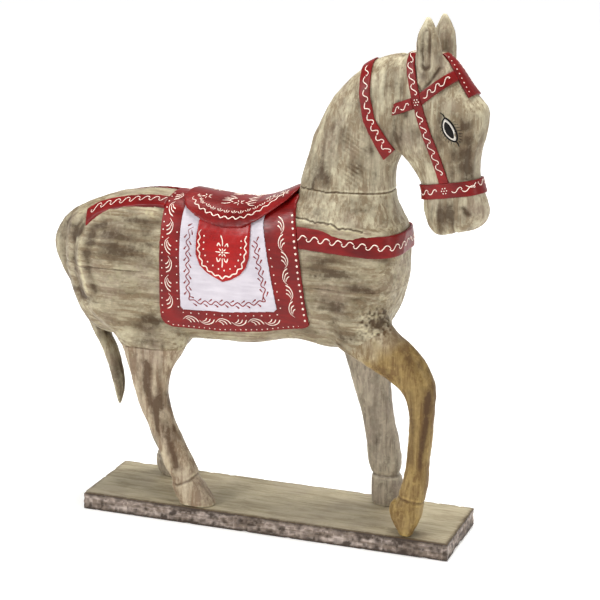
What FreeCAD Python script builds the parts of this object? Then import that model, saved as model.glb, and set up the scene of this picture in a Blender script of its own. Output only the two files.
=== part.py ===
"""A carved and painted wooden horse on a plank: glued wood blocks, dowels, screws and the relief tack.

Millimetres. +X is towards the horse's head, +Y its left side, +Z up. The origin is the middle of the
plank's underside. The horse is carved from blocks glued at flat joints, so the whole form is lofted
first and then sawn at the joint planes into the blocks.
"""

import FreeCAD
import Part

import math
import os

Vector = FreeCAD.Vector

# Driving dimensions
PLANK_LENGTH, PLANK_WIDTH, PLANK_THICK = 450.0, 116.0, 21.0
FLOOR = PLANK_THICK              # the hooves stand at this height
BOARD_JOINT = 297.0              # glue line between the two boards of the torso
NECK_SEAT = 369.0                # top of the shoulder, where the neck's base block sits
NECK_SEAT_BACK = 33.0            # the step at the back of that seat
NECK_JOINT = 404.0               # glue line between the neck's base block and the head block
HIND_JOINT = 206.0               # glue line at the top of the hind legs
FORE_JOINT = 224.0               # glue line at the top of the standing foreleg
RAISED_JOINT = ((93.0, 222.0), (153.0, 262.0))   # slanting glue line of the raised foreleg, side view
HEAD_TURN = 13.0                 # degrees that the head turns to the horse's right
HEAD_PIVOT = 150.0               # x of the upright axis that it turns about
FAR = 1000.0                     # larger than the object, for cutting boxes
RIB_POINTS = 24                  # points that each cross-section is drawn through

# Relief tack: heights of each layer above the wood
CLOTH, PANEL, TONGUE, SEAT = 3.0, 4.2, 6.2, 8.5
STRAP = 2.4

# Joinery
DOWEL_RADIUS = 5.0
DOWEL_REACH = 22.0               # how far a dowel goes into each block
SCREW_RADIUS, SCREW_LENGTH = 2.0, 50.0
SCREW_HEAD_RADIUS, SCREW_HEAD = 4.0, 3.0


def rib(front, back, half_width, middle=0.0, square=2.6, widest=0.5, grow=0.0, turn=0.0):
    """A closed section across a limb: front and back are (x, z) points of its side view."""
    (xa, za), (xb, zb) = front, back
    length = math.hypot(xa - xb, za - zb)
    along = ((xa - xb) / length, (za - zb) / length)
    centre = (xb + along[0] * length * widest, zb + along[1] * length * widest)
    ahead = length * (1 - widest) + grow
    behind = length * widest + grow
    points = []
    for k in range(RIB_POINTS):
        angle = 2 * math.pi * (k + 0.5) / RIB_POINTS
        c, s = math.cos(angle), math.sin(angle)
        across = math.copysign(abs(c) ** (2 / square), c) * (half_width + grow)
        reach = math.copysign(abs(s) ** (2 / square), s)
        reach *= ahead if reach > 0 else behind
        x = centre[0] + along[0] * reach
        y = middle + across
        z = centre[1] + along[1] * reach
        points.append(turned(Vector(x, y, z), turn))
    curve = Part.BSplineCurve()
    curve.interpolate(points, PeriodicFlag=True)
    return Part.Wire([curve.toShape()])


def turned(point, degrees):
    """A point after the head's turn to the horse's right about the upright pivot axis."""
    a = math.radians(degrees)
    dx = point.x - HEAD_PIVOT
    return Vector(
        HEAD_PIVOT + dx * math.cos(a) + point.y * math.sin(a),
        point.y * math.cos(a) - dx * math.sin(a),
        point.z,
    )


def loft(ribs):
    """A closed solid skinned over the ribs."""
    solid = Part.makeLoft(ribs, True, False)
    if solid.Volume < 0:
        solid.reverse()
    return solid


def box(x0, x1, y0, y1, z0, z1):
    return Part.makeBox(x1 - x0, y1 - y0, z1 - z0, Vector(x0, y0, z0))


def slab(z0, z1):
    """Everything between two heights."""
    return box(-FAR, FAR, -FAR, FAR, z0, z1)


# ------------------------------------------------------------------ torso
# x, top, bottom, half width, squareness, share of any growth that points forwards
TORSO = [
    (-257, 338, 270, 17, 2.2, -1.0),
    (-250, 350, 256, 29, 2.3, -0.9),
    (-238, 359, 232, 39, 2.5, -0.6),
    (-218, 369, 212, 46, 2.6, -0.3),
    (-190, 378, 208, 49, 2.7, 0.0),
    (-155, 383, 209, 50, 2.8, 0.0),
    (-120, 382, 212, 50, 2.9, 0.0),
    (-80, 377, 214, 49, 3.0, 0.0),
    (-40, 374, 215, 49, 3.0, 0.0),
    (-5, 379, 219, 49, 3.0, 0.0),
    (28, 393, 226, 49, 3.0, 0.0),
    (58, 396, 223, 50, 3.1, 0.0),
    (88, 393, 222, 50, 3.2, 0.0),
    (114, 388, 230, 49, 3.2, 0.1),
    (132, 383, 246, 46, 3.1, 0.4),
    (143, 378, 266, 41, 3.0, 0.7),
    (151, 370, 290, 31, 2.7, 0.9),
    (155, 360, 308, 18, 2.4, 1.0),
]


def torso(grow=0.0):
    ribs = []
    for x, top, bottom, half, square, ahead in TORSO:
        place = x + grow * ahead
        ribs.append(rib((place, top), (place, bottom), half, square=square, grow=grow))
    return loft(ribs)


# ------------------------------------------------------------------ neck and head
# front point and back point in side view, half width, squareness, share of the head's turn
NECK = [
    ((150, 352), (30, 352), 48, 3.0, 0.0),
    ((144, 384), (30, 384), 41, 2.8, 0.0),
    ((140, 402), (31.5, 402), 34, 2.6, 0.0),
    ((140, 417), (37, 427), 29.5, 2.4, 0.0),
    ((142, 432), (46, 458), 27.5, 2.3, 0.1),
    ((150, 448), (61, 492), 26.5, 2.3, 0.3),
    ((160, 463), (85, 523), 26, 2.3, 0.6),
    ((172, 482), (115, 545), 25, 2.3, 0.85),
    ((184, 503), (148, 555), 22, 2.3, 1.0),
]
# front point, back point, half width, squareness
HEAD = [
    ((196, 559), (158, 558), 13, 2.3),
    ((206, 552), (146, 546), 19, 2.4),
    ((217, 539), (138, 526), 23.5, 2.5),
    ((231, 521), (134, 501), 26, 2.7),
    ((246, 506), (135, 478), 27.5, 2.8),
    ((250, 492), (142, 458), 27.5, 2.8),
    ((247, 476), (152, 445), 25.5, 2.8),
    ((243, 458), (163, 434), 22.5, 2.8),
    ((241, 440), (172, 422), 20.5, 2.8),
    ((243, 426), (177.5, 411), 19.5, 2.7),
    ((248, 412), (178.5, 398), 19.5, 2.7),
    ((254, 399), (180, 383), 20, 2.6),
    ((254, 387), (184.5, 370), 19, 2.5),
    ((246, 377), (191, 362.5), 16, 2.4),
    ((234, 371), (198, 361), 11, 2.2),
]


def neck(grow=0.0):
    ribs = []
    for front, back, half, square, share in NECK:
        ribs.append(rib(front, back, half, square=square, grow=grow, turn=HEAD_TURN * share))
    return loft(ribs)


def head(grow=0.0):
    ribs = []
    for front, back, half, square in HEAD:
        ribs.append(rib(front, back, half, square=square, grow=grow, turn=HEAD_TURN))
    return loft(ribs)


# front point, back point, half width, distance out from the head's middle
EAR = [
    ((201, 532), (171, 530), 7.5, 15),
    ((203, 549), (172, 548), 8.2, 15.5),
    ((202, 566), (173, 566), 8.0, 16.5),
    ((199, 580), (176.5, 580), 7.0, 17.5),
    ((194, 591), (181, 591), 4.5, 18),
    ((189, 599), (185, 599), 1.6, 18),
]
EAR_PEG_X, EAR_PEG_Y, EAR_PEG_BOTTOM, EAR_PEG_TOP, EAR_PEG_RADIUS = 187.0, 13.5, 512.0, 552.0, 4.0


def ear(side):
    ribs = []
    for front, back, half, out in EAR:
        ribs.append(rib(front, back, half, middle=side * out, square=2.2, turn=HEAD_TURN))
    return loft(ribs)


def ear_peg(side):
    foot = turned(Vector(EAR_PEG_X, side * EAR_PEG_Y, EAR_PEG_BOTTOM), HEAD_TURN)
    return Part.makeCylinder(EAR_PEG_RADIUS, EAR_PEG_TOP - EAR_PEG_BOTTOM, foot)


# ------------------------------------------------------------------ legs
# front point, back point, half width, distance out from the middle, squareness
HIND_RIGHT = [
    ((-158, 346), (-212, 346), 17, 26, 2.4),
    ((-143, 330), (-226, 330), 24, 27, 2.6),
    ((-131, 300), (-234, 300), 26, 27.5, 2.8),
    ((-124, 262), (-226, 262), 25, 28, 2.8),
    ((-104, 230), (-204, 230), 22.5, 30, 2.7),
    ((-100, 206), (-180, 206), 19, 33, 2.6),
    ((-113, 184), (-171, 184), 16, 35.5, 2.5),
    ((-119, 164), (-165, 164), 14, 37.5, 2.4),
    ((-119, 144), (-159, 144), 12.5, 38.5, 2.4),
    ((-114, 124), (-151, 124), 11.5, 39.5, 2.4),
    ((-105, 104), (-141, 104), 11.5, 40, 2.4),
    ((-95, 85), (-132, 85), 12, 40.5, 2.4),
    ((-87, 70), (-126, 70), 13.5, 41, 2.4),
    ((-82, 58), (-119, 58), 13.5, 41, 2.4),
    ((-81, 44), (-110, 44), 12, 41, 2.4),
]
HIND_RIGHT_HOOF = [
    ((-79, 50), (-116, 49), 13.5, 41, 2.4),
    ((-73, 42), (-114, 41), 15.5, 41, 2.4),
    ((-66, 31), (-110, 31), 16.3, 41, 2.4),
    ((-61, FLOOR), (-105, FLOOR), 16.3, 41, 2.4),
]
HIND_LEFT = [
    ((-158, 346), (-212, 346), 17, 26, 2.4),
    ((-143, 330), (-226, 330), 24, 27, 2.6),
    ((-131, 300), (-234, 300), 26, 27.5, 2.8),
    ((-124, 262), (-230, 262), 25, 28, 2.8),
    ((-106, 230), (-216, 230), 22.5, 30, 2.7),
    ((-112, 206), (-203, 206), 19, 32.5, 2.6),
    ((-134, 182), (-199, 182), 16, 35, 2.5),
    ((-153, 161), (-199, 161), 14, 36, 2.4),
    ((-158, 144), (-198, 144), 12.5, 37, 2.4),
    ((-158, 124), (-195, 124), 11.5, 37.5, 2.4),
    ((-154, 104), (-190, 104), 11.5, 38, 2.4),
    ((-147, 84), (-183, 84), 12, 38, 2.4),
    ((-140, 68), (-177, 68), 13.5, 38, 2.4),
    ((-136, 57), (-171, 57), 13.5, 38, 2.4),
    ((-136, 44), (-164, 44), 12, 38, 2.4),
]
HIND_LEFT_HOOF = [
    ((-134, 50), (-171, 49), 13.5, 38, 2.4),
    ((-128, 42), (-171, 41), 15.5, 38, 2.4),
    ((-122, 31), (-170, 31), 16.3, 38, 2.4),
    ((-117, FLOOR), (-165, FLOOR), 16.3, 38, 2.4),
]
FORE_RIGHT = [
    ((120, 300), (62, 262), 20, 28, 2.6),
    ((137, 276), (82, 236), 21, 29.5, 2.6),
    ((149, 257), (102, 220), 19.5, 32, 2.5),
    ((169, 241), (132, 205), 17, 34.5, 2.4),
    ((185, 227), (152, 195), 15, 36.5, 2.4),
    ((195, 213), (164, 186), 14.5, 38, 2.4),
    ((202, 197), (170, 175), 14, 39, 2.4),
    ((203, 180), (172.5, 165), 12.5, 40, 2.4),
    ((202, 152), (173, 147), 11.5, 41, 2.4),
    ((200, 124), (172.5, 121), 11, 42, 2.4),
    ((198, 98), (170, 97), 11.5, 42.5, 2.4),
    ((196.5, 78), (166, 79), 13, 43, 2.4),
    ((194, 62), (162.5, 65), 13, 43.5, 2.4),
    ((188, 48), (164, 48), 11, 44, 2.4),
]
FORE_RIGHT_HOOF = [
    ((190, 57), (158, 61), 13.5, 44, 2.4),
    ((191, 49), (154, 52), 15.5, 44, 2.4),
    ((188, 38), (157, 38), 14.5, 45, 2.4),
    ((181, FLOOR), (167, FLOOR), 8.5, 47, 2.4),
]
FORE_LEFT = [
    ((124, 300), (74, 300), 20, 26, 2.6),
    ((129, 268), (66, 268), 21, 27.5, 2.6),
    ((129, 240), (64, 240), 20, 29.5, 2.6),
    ((129, 222), (66, 222), 18.5, 31, 2.5),
    ((128, 200), (73, 200), 16.5, 33, 2.4),
    ((127.5, 171), (81, 171), 14.5, 35, 2.4),
    ((130, 138), (90.5, 138), 13, 36.5, 2.4),
    ((134.5, 112), (96, 112), 12.5, 37.5, 2.4),
    ((139, 90), (99, 90), 13.5, 38, 2.4),
    ((141, 74), (101, 74), 14.5, 38, 2.4),
    ((139, 62), (105, 62), 13.5, 38, 2.4),
    ((138, 48), (110, 48), 12, 38, 2.4),
]
FORE_LEFT_HOOF = [
    ((140, 58), (106, 58), 14, 38, 2.4),
    ((143, 46), (106, 46), 15.5, 38, 2.4),
    ((147, 33), (106, 33), 16.3, 38, 2.4),
    ((149, FLOOR), (107, FLOOR), 16.3, 38, 2.4),
]


def limb(ribs, side):
    wires = []
    for front, back, half, out, square in ribs:
        wires.append(rib(front, back, half, middle=side * out, square=square))
    return loft(wires)


def leg(shank, hoof, side):
    return limb(shank, side).fuse(limb(hoof, side))


# ------------------------------------------------------------------ tail
# inner point, outer point, half width
TAIL = [
    ((-222, 352), (-226, 366), 8),
    ((-235, 337), (-247, 356), 11),
    ((-243, 320), (-266, 340), 12.5),
    ((-247, 302), (-278, 312), 13),
    ((-244, 284), (-273, 290), 13.5),
    ((-234, 258), (-260, 268), 14),
    ((-224, 228), (-244, 237), 14),
    ((-209, 194), (-225, 199), 13.5),
    ((-199, 166), (-213, 168), 12.5),
    ((-195, 142), (-207, 143), 10),
    ((-197, 124), (-204.5, 124), 6),
    ((-199.5, 114), (-202.5, 114), 2.5),
]


def tail():
    ribs = []
    for front, back, half in TAIL:
        ribs.append(rib(front, back, half, square=2.8))
    return loft(ribs)


# ------------------------------------------------------------------ sawing the form into blocks
def beyond_line(start, end, depth=FAR):
    """Everything ahead of and below a slanting saw line drawn in side view from start to end."""
    dx, dz = end[0] - start[0], end[1] - start[1]
    length = math.hypot(dx, dz)
    along = Vector(dx / length, 0, dz / length)
    down = Vector(along.z, 0, -along.x)
    a = Vector(start[0], -depth, start[1]) - along * depth
    b = Vector(start[0], -depth, start[1]) + along * depth
    corners = [a, b, b + down * depth, a + down * depth, a]
    return Part.Face(Part.makePolygon(corners)).extrude(Vector(0, 2 * depth, 0))


def dowel(x, y, z, direction=Vector(0, 0, 1)):
    """A round dowel centred on a joint."""
    start = Vector(x, y, z) - direction * DOWEL_REACH
    return Part.makeCylinder(DOWEL_RADIUS, 2 * DOWEL_REACH, start, direction)


def raised_joint_dowel():
    (x0, z0), (x1, z1) = RAISED_JOINT
    length = math.hypot(x1 - x0, z1 - z0)
    across = Vector((z1 - z0) / length, 0, -(x1 - x0) / length)
    return dowel((x0 + x1) / 2, -31, (z0 + z1) / 2, across)


def joinery():
    """The hidden pieces that hold the blocks together, by name."""
    return {
        "torso_board_dowels": Part.makeCompound([dowel(x, 0, BOARD_JOINT) for x in (-195, -70, 75)]),
        "neck_base_dowels": Part.makeCompound([dowel(x, 0, NECK_SEAT) for x in (76, 109)]),
        "neck_joint_dowels": Part.makeCompound([dowel(x, 0, NECK_JOINT) for x in (60, 92, 126)]),
        "right_hind_dowel": dowel(-142, -33, HIND_JOINT),
        "left_hind_dowel": dowel(-160, 33, HIND_JOINT),
        "right_fore_dowel": raised_joint_dowel(),
        "left_fore_dowel": dowel(98, 31, FORE_JOINT),
        "tail_dowel": dowel(-246, 0, 308, Vector(1, 0, 0)),
        "base_screws": Part.makeCompound([screw(x, y) for x, y in SCREW_PLACES]),
    }


SCREW_PLACES = ((-92, -41), (-143, 38), (174, -47), (128, 38))


def screw(x, y):
    """A countersunk wood screw driven up through the plank into a hoof."""
    shank = Part.makeCylinder(SCREW_RADIUS, SCREW_LENGTH - 2.0, Vector(x, y, 0))
    cap = Part.makeCone(SCREW_HEAD_RADIUS, SCREW_RADIUS, SCREW_HEAD, Vector(x, y, 0))
    return shank.fuse(cap)


# ------------------------------------------------------------------ tack
# outlines in side view, (x, z)
CLOTH_EDGE = [(-120, 420), (-121, 350), (-123, 246), (-119, 238), (-110, 234), (-50, 234), (0, 239), (51, 249),
              (58, 253), (54, 280), (50, 310), (46, 340), (42, 365), (38, 390), (36, 425)]
PANEL_EDGE = [(-97, 420), (-96, 262), (-93, 258), (-40, 260), (17, 266), (21, 270), (17, 292),
              (12, 318), (7, 345), (2, 368), (2, 420)]
TONGUE_EDGE = [(-74, 372), (-76, 345), (-76, 325), (-71, 313), (-62, 305), (-52, 300), (-43, 296), (-33, 299),
               (-23, 305), (-15, 314), (-11, 327), (-11, 345), (-13, 372)]
SEAT_EDGE = [(-105, 425), (-102, 386), (-93, 375), (-80, 367), (-66, 361), (-46, 357), (-24, 358),
             (-6, 367), (11, 379), (27, 391), (36, 402), (36, 430)]
BREAST_EDGE = [(30, 366), (80, 363), (130, 360), (200, 364), (200, 340), (130, 336), (80, 339), (30, 342)]
NECK_STRAP_EDGE = [(101, 570), (102, 535), (104, 510), (110, 483), (133, 440), (145, 452), (124, 485),
                   (117, 511), (116, 535), (117, 570)]
# on the head before its turn
CHEEK_EDGE = [(160, 575), (163, 545), (174.5, 508), (191.5, 465), (206.5, 420.5), (217.5, 423), (202.5, 467),
              (185.5, 509), (173.5, 546), (170, 575)]
BROWBAND_EDGE = [(140, 487), (182, 502), (228, 538), (221, 548), (178, 514), (137, 498)]
NOSEBAND_EDGE = [(165, 397.5), (270, 417.5), (267, 433.5), (162, 413.5)]
BROW_PLATE = [(-6, 0), (6, 0), (9, 22), (12.5, 56), (-12.5, 56), (-9, 22)]   # (across, down the forehead)
FOREHEAD_TOP, FOREHEAD_END = (199, 559), (246, 506)
# outline in plan, (x, distance out)
CRUPPER_EDGE = [(-112, 21), (-112, 35), (-178, 38), (-205, 38), (-219, 41), (-222, 29), (-205, 25), (-178, 25)]


def side_prism(edge):
    """A side-view outline pushed right through the horse."""
    corners = [Vector(x, -FAR, z) for x, z in edge]
    return Part.Face(Part.makePolygon(corners + corners[:1])).extrude(Vector(0, 2 * FAR, 0))


def head_prism(edge):
    """A side-view outline pushed through the turned head."""
    prism = side_prism(edge)
    prism.rotate(Vector(HEAD_PIVOT, 0, 0), Vector(0, 0, 1), -HEAD_TURN)
    return prism


def plan_prism(edge, side):
    corners = [Vector(x, side * y, 300) for x, y in edge]
    return Part.Face(Part.makePolygon(corners + corners[:1])).extrude(Vector(0, 0, 200))


def brow_prism():
    """The brow plate's outline laid on the forehead and pushed inwards."""
    (x0, z0), (x1, z1) = FOREHEAD_TOP, FOREHEAD_END
    length = math.hypot(x1 - x0, z1 - z0)
    down = Vector((x1 - x0) / length, 0, (z1 - z0) / length)
    out = Vector(-down.z, 0, down.x)
    start = Vector(x0, 0, z0) + out * 20
    corners = [start + down * d + Vector(0, y, 0) for y, d in BROW_PLATE]
    prism = Part.Face(Part.makePolygon(corners + corners[:1])).extrude(out * -38)
    prism.rotate(Vector(HEAD_PIVOT, 0, 0), Vector(0, 0, 1), -HEAD_TURN)
    return prism


def saddle():
    """The saddle's layers, each resting on the one below."""
    cloth = torso(CLOTH).common(side_prism(CLOTH_EDGE))
    panel = torso(PANEL).common(side_prism(PANEL_EDGE)).cut(torso(CLOTH))
    tongues = torso(TONGUE).common(side_prism(TONGUE_EDGE)).cut(torso(PANEL))
    seat = torso(SEAT).common(side_prism(SEAT_EDGE)).cut(torso(CLOTH)).cut(panel).cut(tongues)
    return cloth, panel, tongues, seat


def right_half(shape):
    return shape.common(box(-FAR, FAR, -FAR, 0, -FAR, FAR))


def left_half(shape):
    return shape.common(box(-FAR, FAR, 0, FAR, -FAR, FAR))


def body_tack(trunk, head_block):
    """Saddle and straps on the trunk and neck, by name."""
    cloth, panel, tongues, seat = saddle()
    cloth = cloth.cut(trunk)
    strap_form = torso(STRAP)
    breast = strap_form.common(side_prism(BREAST_EDGE)).cut(torso()).cut(neck()).cut(cloth)
    neck_strap = neck(STRAP).common(side_prism(NECK_STRAP_EDGE)).cut(trunk).cut(head_block)
    return {
        "saddle_cloth": cloth,
        "saddle_panel": panel,
        "right_saddle_tongue": right_half(tongues),
        "left_saddle_tongue": left_half(tongues),
        "saddle_seat": seat,
        "breast_strap": breast,
        "right_crupper_strap": strap_form.common(plan_prism(CRUPPER_EDGE, -1)).cut(trunk).cut(cloth),
        "left_crupper_strap": strap_form.common(plan_prism(CRUPPER_EDGE, 1)).cut(trunk).cut(cloth),
        "neck_strap": neck_strap,
    }


def bridle(head_block, ears):
    """The bridle's straps and brow plate, by name."""
    skin = head(STRAP).cut(head_block)
    for one in ears:
        skin = skin.cut(one)
    plate = head(STRAP + 1).common(brow_prism()).cut(head_block)
    for one in ears:
        plate = plate.cut(one)
    nose = skin.common(head_prism(NOSEBAND_EDGE))
    cheek = skin.common(head_prism(CHEEK_EDGE)).cut(plate).cut(nose)
    brow = skin.common(head_prism(BROWBAND_EDGE)).cut(cheek).cut(plate)
    return {"cheek_strap": cheek, "noseband": nose, "browband": brow, "brow_plate": plate}


def legs():
    """Each leg with its hoof, running up into the trunk."""
    return {
        "right_hind_leg": leg(HIND_RIGHT, HIND_RIGHT_HOOF, -1),
        "left_hind_leg": leg(HIND_LEFT, HIND_LEFT_HOOF, 1),
        "right_fore_leg": leg(FORE_RIGHT, FORE_RIGHT_HOOF, -1),
        "left_fore_leg": leg(FORE_LEFT, FORE_LEFT_HOOF, 1),
    }


def saw_legs(forms, barrel):
    """The four leg blocks, cut off at their glue joints."""
    return {
        "right_hind_leg": forms["right_hind_leg"].common(slab(0, HIND_JOINT)).cut(barrel),
        "left_hind_leg": forms["left_hind_leg"].common(slab(0, HIND_JOINT)).cut(barrel),
        "right_fore_leg": forms["right_fore_leg"].common(beyond_line(*RAISED_JOINT)).cut(barrel),
        "left_fore_leg": forms["left_fore_leg"].common(slab(0, FORE_JOINT)).cut(barrel),
    }


def bodywork():
    """Every wood block, by name, and the trunk and head forms that the tack lies on."""
    barrel = torso()
    forms = legs()
    tail_form = tail()
    leg_blocks = saw_legs(forms, barrel.fuse(tail_form))
    trunk = barrel
    for form in forms.values():
        trunk = trunk.fuse(form)
    neck_form = neck()
    trunk = trunk.fuse(neck_form)
    head_block = neck_form.common(slab(NECK_JOINT, FAR)).fuse(head())
    base_zone = box(NECK_SEAT_BACK, 168, -FAR, FAR, NECK_SEAT, NECK_JOINT)
    above = box(NECK_SEAT_BACK, FAR, -FAR, FAR, NECK_SEAT, FAR)
    # the tail is let into a groove in the rump
    sawn = trunk.cut(tail_form)
    for block in leg_blocks.values():
        sawn = sawn.cut(block)
    blocks = {
        "lower_body_board": sawn.common(slab(0, BOARD_JOINT)),
        "upper_body_board": sawn.common(slab(BOARD_JOINT, NECK_JOINT)).cut(above),
        "neck_base_block": sawn.common(base_zone),
        "neck_and_head_block": head_block,
        "tail": tail_form,
    }
    blocks.update(leg_blocks)
    return blocks, trunk, head_block


def bore(blocks, fittings):
    """Every block with the holes for the dowels, pegs and screws that go into it."""
    for name, block in blocks.items():
        for fitting in fittings:
            if block.BoundBox.intersect(fitting.BoundBox):
                block = block.cut(fitting)
        blocks[name] = block


def save(shape, name):
    solids = shape.Solids
    volume = sum(solid.Volume for solid in solids)
    print(f"{name}: valid {shape.isValid()}, solids {len(solids)}, {volume / 1000:.2f} cm3")
    whole = solids[0] if len(solids) == 1 else Part.makeCompound(solids)
    whole.exportStep(f"parts/{name}.step")


def main():
    os.makedirs("parts", exist_ok=True)
    blocks, trunk, head_block = bodywork()
    plank = box(-PLANK_LENGTH / 2, PLANK_LENGTH / 2, -PLANK_WIDTH / 2, PLANK_WIDTH / 2, 0, FLOOR)
    blocks["base_plank"] = plank
    ears = {
        "right_ear": ear(-1).cut(head_block).fuse(ear_peg(-1)),
        "left_ear": ear(1).cut(head_block).fuse(ear_peg(1)),
    }
    hidden = joinery()
    bore(blocks, list(hidden.values()) + [ear_peg(-1), ear_peg(1)])
    tack = body_tack(trunk, head_block)
    tack.update(bridle(head_block, list(ears.values())))
    for group in (blocks, ears, hidden, tack):
        for name, shape in group.items():
            save(shape, name)


main()
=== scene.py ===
# %% [markdown]
# # A carved and painted wooden horse on a plank
# The real horse is glued up from blocks of mango wood, carved with gouges and rasps, wiped with a thin
# white wash and waxed brown in the hollows. Its saddle and straps stand up in low relief, painted with
# dark red and white enamel, and the white scrolls are squeezed on through a paper cone, so they stand
# proud of the paint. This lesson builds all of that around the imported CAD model.

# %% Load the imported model
import math

import bmesh
import bpy
import numpy as np
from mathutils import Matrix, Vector
from mathutils.bvhtree import BVHTree


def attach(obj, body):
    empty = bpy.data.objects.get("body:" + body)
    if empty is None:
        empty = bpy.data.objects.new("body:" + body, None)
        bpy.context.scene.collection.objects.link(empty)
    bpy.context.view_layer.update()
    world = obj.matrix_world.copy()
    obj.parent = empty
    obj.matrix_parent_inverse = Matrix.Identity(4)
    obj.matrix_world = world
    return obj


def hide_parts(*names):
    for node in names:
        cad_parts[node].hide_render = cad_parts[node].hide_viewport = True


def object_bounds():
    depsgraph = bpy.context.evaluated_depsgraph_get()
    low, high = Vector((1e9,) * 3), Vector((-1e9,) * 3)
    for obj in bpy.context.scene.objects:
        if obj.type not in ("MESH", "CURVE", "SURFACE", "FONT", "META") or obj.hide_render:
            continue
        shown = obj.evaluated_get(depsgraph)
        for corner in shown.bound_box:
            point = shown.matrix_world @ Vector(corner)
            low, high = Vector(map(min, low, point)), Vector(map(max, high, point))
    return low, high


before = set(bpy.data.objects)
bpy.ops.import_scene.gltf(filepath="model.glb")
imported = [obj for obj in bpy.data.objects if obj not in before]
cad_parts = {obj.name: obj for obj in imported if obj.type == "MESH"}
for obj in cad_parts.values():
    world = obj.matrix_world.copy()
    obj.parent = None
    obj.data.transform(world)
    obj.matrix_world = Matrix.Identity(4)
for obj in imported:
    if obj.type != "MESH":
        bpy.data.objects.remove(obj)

cad_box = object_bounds()
MM = 0.001
print("CAD box in metres", cad_box)

# %% [markdown]
# ## Camera, floor and light
# The horse is seen from its right side, from a little ahead and above, through a long lens. A pale floor
# and big soft lights keep the shadows faint, as in a light tent, so the carving is read from its shading.

# %% Camera
def new_object(name, data):
    """An object in the scene that shows a mesh, lamp or camera."""
    thing = bpy.data.objects.new(name, data)
    bpy.context.scene.collection.objects.link(thing)
    return thing


camera = new_object("camera", bpy.data.cameras.new("camera"))
camera.location = (0.7271, -1.8795, 0.8337)
aim = Vector((0.0257, 0.0096, 0.2650))
camera.rotation_euler = (aim - camera.location).to_track_quat("-Z", "Y").to_euler()
camera.data.lens = 110.05
camera.data.sensor_width = 36
bpy.context.scene.camera = camera
print("camera distance", round((aim - camera.location).length, 3))

# %% [markdown]
# ## Colours and nodes
# Paint and wood colours are easiest to judge as the hex values that a colour picker shows, but shaders
# work in linear light, so one function converts them. Another adds a node with its settings and links,
# which keeps each material short enough to read as a recipe.

# %% Colours and shader nodes
def linear(hex_colour):
    """An sRGB hex colour as the linear RGBA that shaders use."""
    channels = []
    for k in (1, 3, 5):
        c = int(hex_colour[k:k + 2], 16) / 255
        channels.append(c / 12.92 if c <= 0.04045 else ((c + 0.055) / 1.055) ** 2.4)
    return (*channels, 1.0)


def add(tree, kind, settings=None, links=None):
    """Adds one shader node: settings fill its properties or sockets, links join sockets to others."""
    node = tree.nodes.new(kind)
    for name, value in (settings or {}).items():
        if isinstance(name, int) or name in node.inputs:
            node.inputs[name].default_value = value
        else:
            setattr(node, name, value)
    for name, source in (links or {}).items():
        tree.links.new(source, node.inputs[name])
    return node


def new_material(name):
    """An empty material with its output node, as (material, node tree, output)."""
    material = bpy.data.materials.new(name)
    material.use_nodes = True
    tree = material.node_tree
    tree.nodes.clear()
    return material, tree, add(tree, "ShaderNodeOutputMaterial")

# %% [markdown]
# ## White paper
# A carving like this is shown on white paper. A flat sheet does here, and it glows faintly, more so
# beyond the lamps' reach, so it fades into the white tent round it. A curved sweep would hide the horse
# from its other sides.

# %% Floor
floor_mesh = bpy.data.meshes.new("floor")
floor_mesh.from_pydata([(-20, -20, 0), (20, -20, 0), (20, 20, 0), (-20, 20, 0)], [], [(0, 1, 2, 3)])
floor = new_object("floor", floor_mesh)
floor.location.z = -0.0005
paper, tree, output = new_material("pale paper floor")
# the paper glows faintly, and more so from about 1.5 m out, where the lamps no longer reach
place = add(tree, "ShaderNodeTexCoord").outputs["Object"]
reach = add(tree, "ShaderNodeVectorMath", {"operation": "LENGTH"}, {0: place})
glow = add(tree, "ShaderNodeMapRange", {1: 0.5, 2: 1.8, 3: 0.25, 4: 0.62}, {0: reach.outputs["Value"]})
shader = add(tree, "ShaderNodeBsdfPrincipled", {"Base Color": linear("#fbfbfa"), "Roughness": 0.9,
                                                "Emission Color": linear("#ffffff")},
             {"Emission Strength": glow.outputs[0]})
tree.links.new(shader.outputs[0], output.inputs[0])
floor_mesh.materials.append(paper)

# %% World
world = bpy.data.worlds.new("light tent")
bpy.context.scene.world = world
world.use_nodes = True
world.node_tree.nodes["Background"].inputs[0].default_value = linear("#ffffff")
# the tent is white round its foot and dimmer overhead, where the lamps do the work
tent = world.node_tree
where = add(tent, "ShaderNodeTexCoord").outputs["Generated"]
height = add(tent, "ShaderNodeSeparateXYZ", {}, {0: where})
level = add(tent, "ShaderNodeMapRange", {1: 0.1, 2: 0.4, 3: 1.0, 4: 0.32}, {0: height.outputs[2]})
tent.links.new(level.outputs[0], tent.nodes["Background"].inputs[1])
bpy.context.scene.view_settings.view_transform = "Standard"


# %% Soft lights
def soft_light(name, place, size, watts, colour="#ffffff"):
    """A square softbox that faces the horse's middle."""
    light = bpy.data.lights.new(name, "AREA")
    light.size = size
    light.energy = watts
    light.color = linear(colour)[:3]
    lamp = new_object(name, light)
    lamp.location = place
    lamp.rotation_euler = (Vector((0, 0, 0.3)) - lamp.location).to_track_quat("-Z", "Y").to_euler()


soft_light("overhead softbox", (0.1, 0.2, 2.2), 1.0, 44, "#fffdf8")
soft_light("left softbox", (-1.5, -1.7, 1.5), 0.6, 30)
soft_light("right softbox", (1.9, -0.9, 1.3), 0.6, 10)
print("lamps in watts", {lamp.name: lamp.energy for lamp in bpy.data.lights})

# %% [markdown]
# ## One skin for all the carved blocks
# A carver glues the blocks up first and then works across the joints, so the surface runs on from
# block to block. The same is done here: the CAD blocks are joined, remeshed into one even skin of small
# squares, softened, carved with numpy, and only then parted again into the named blocks. Remeshing each
# block alone would leave a groove at every joint.

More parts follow.
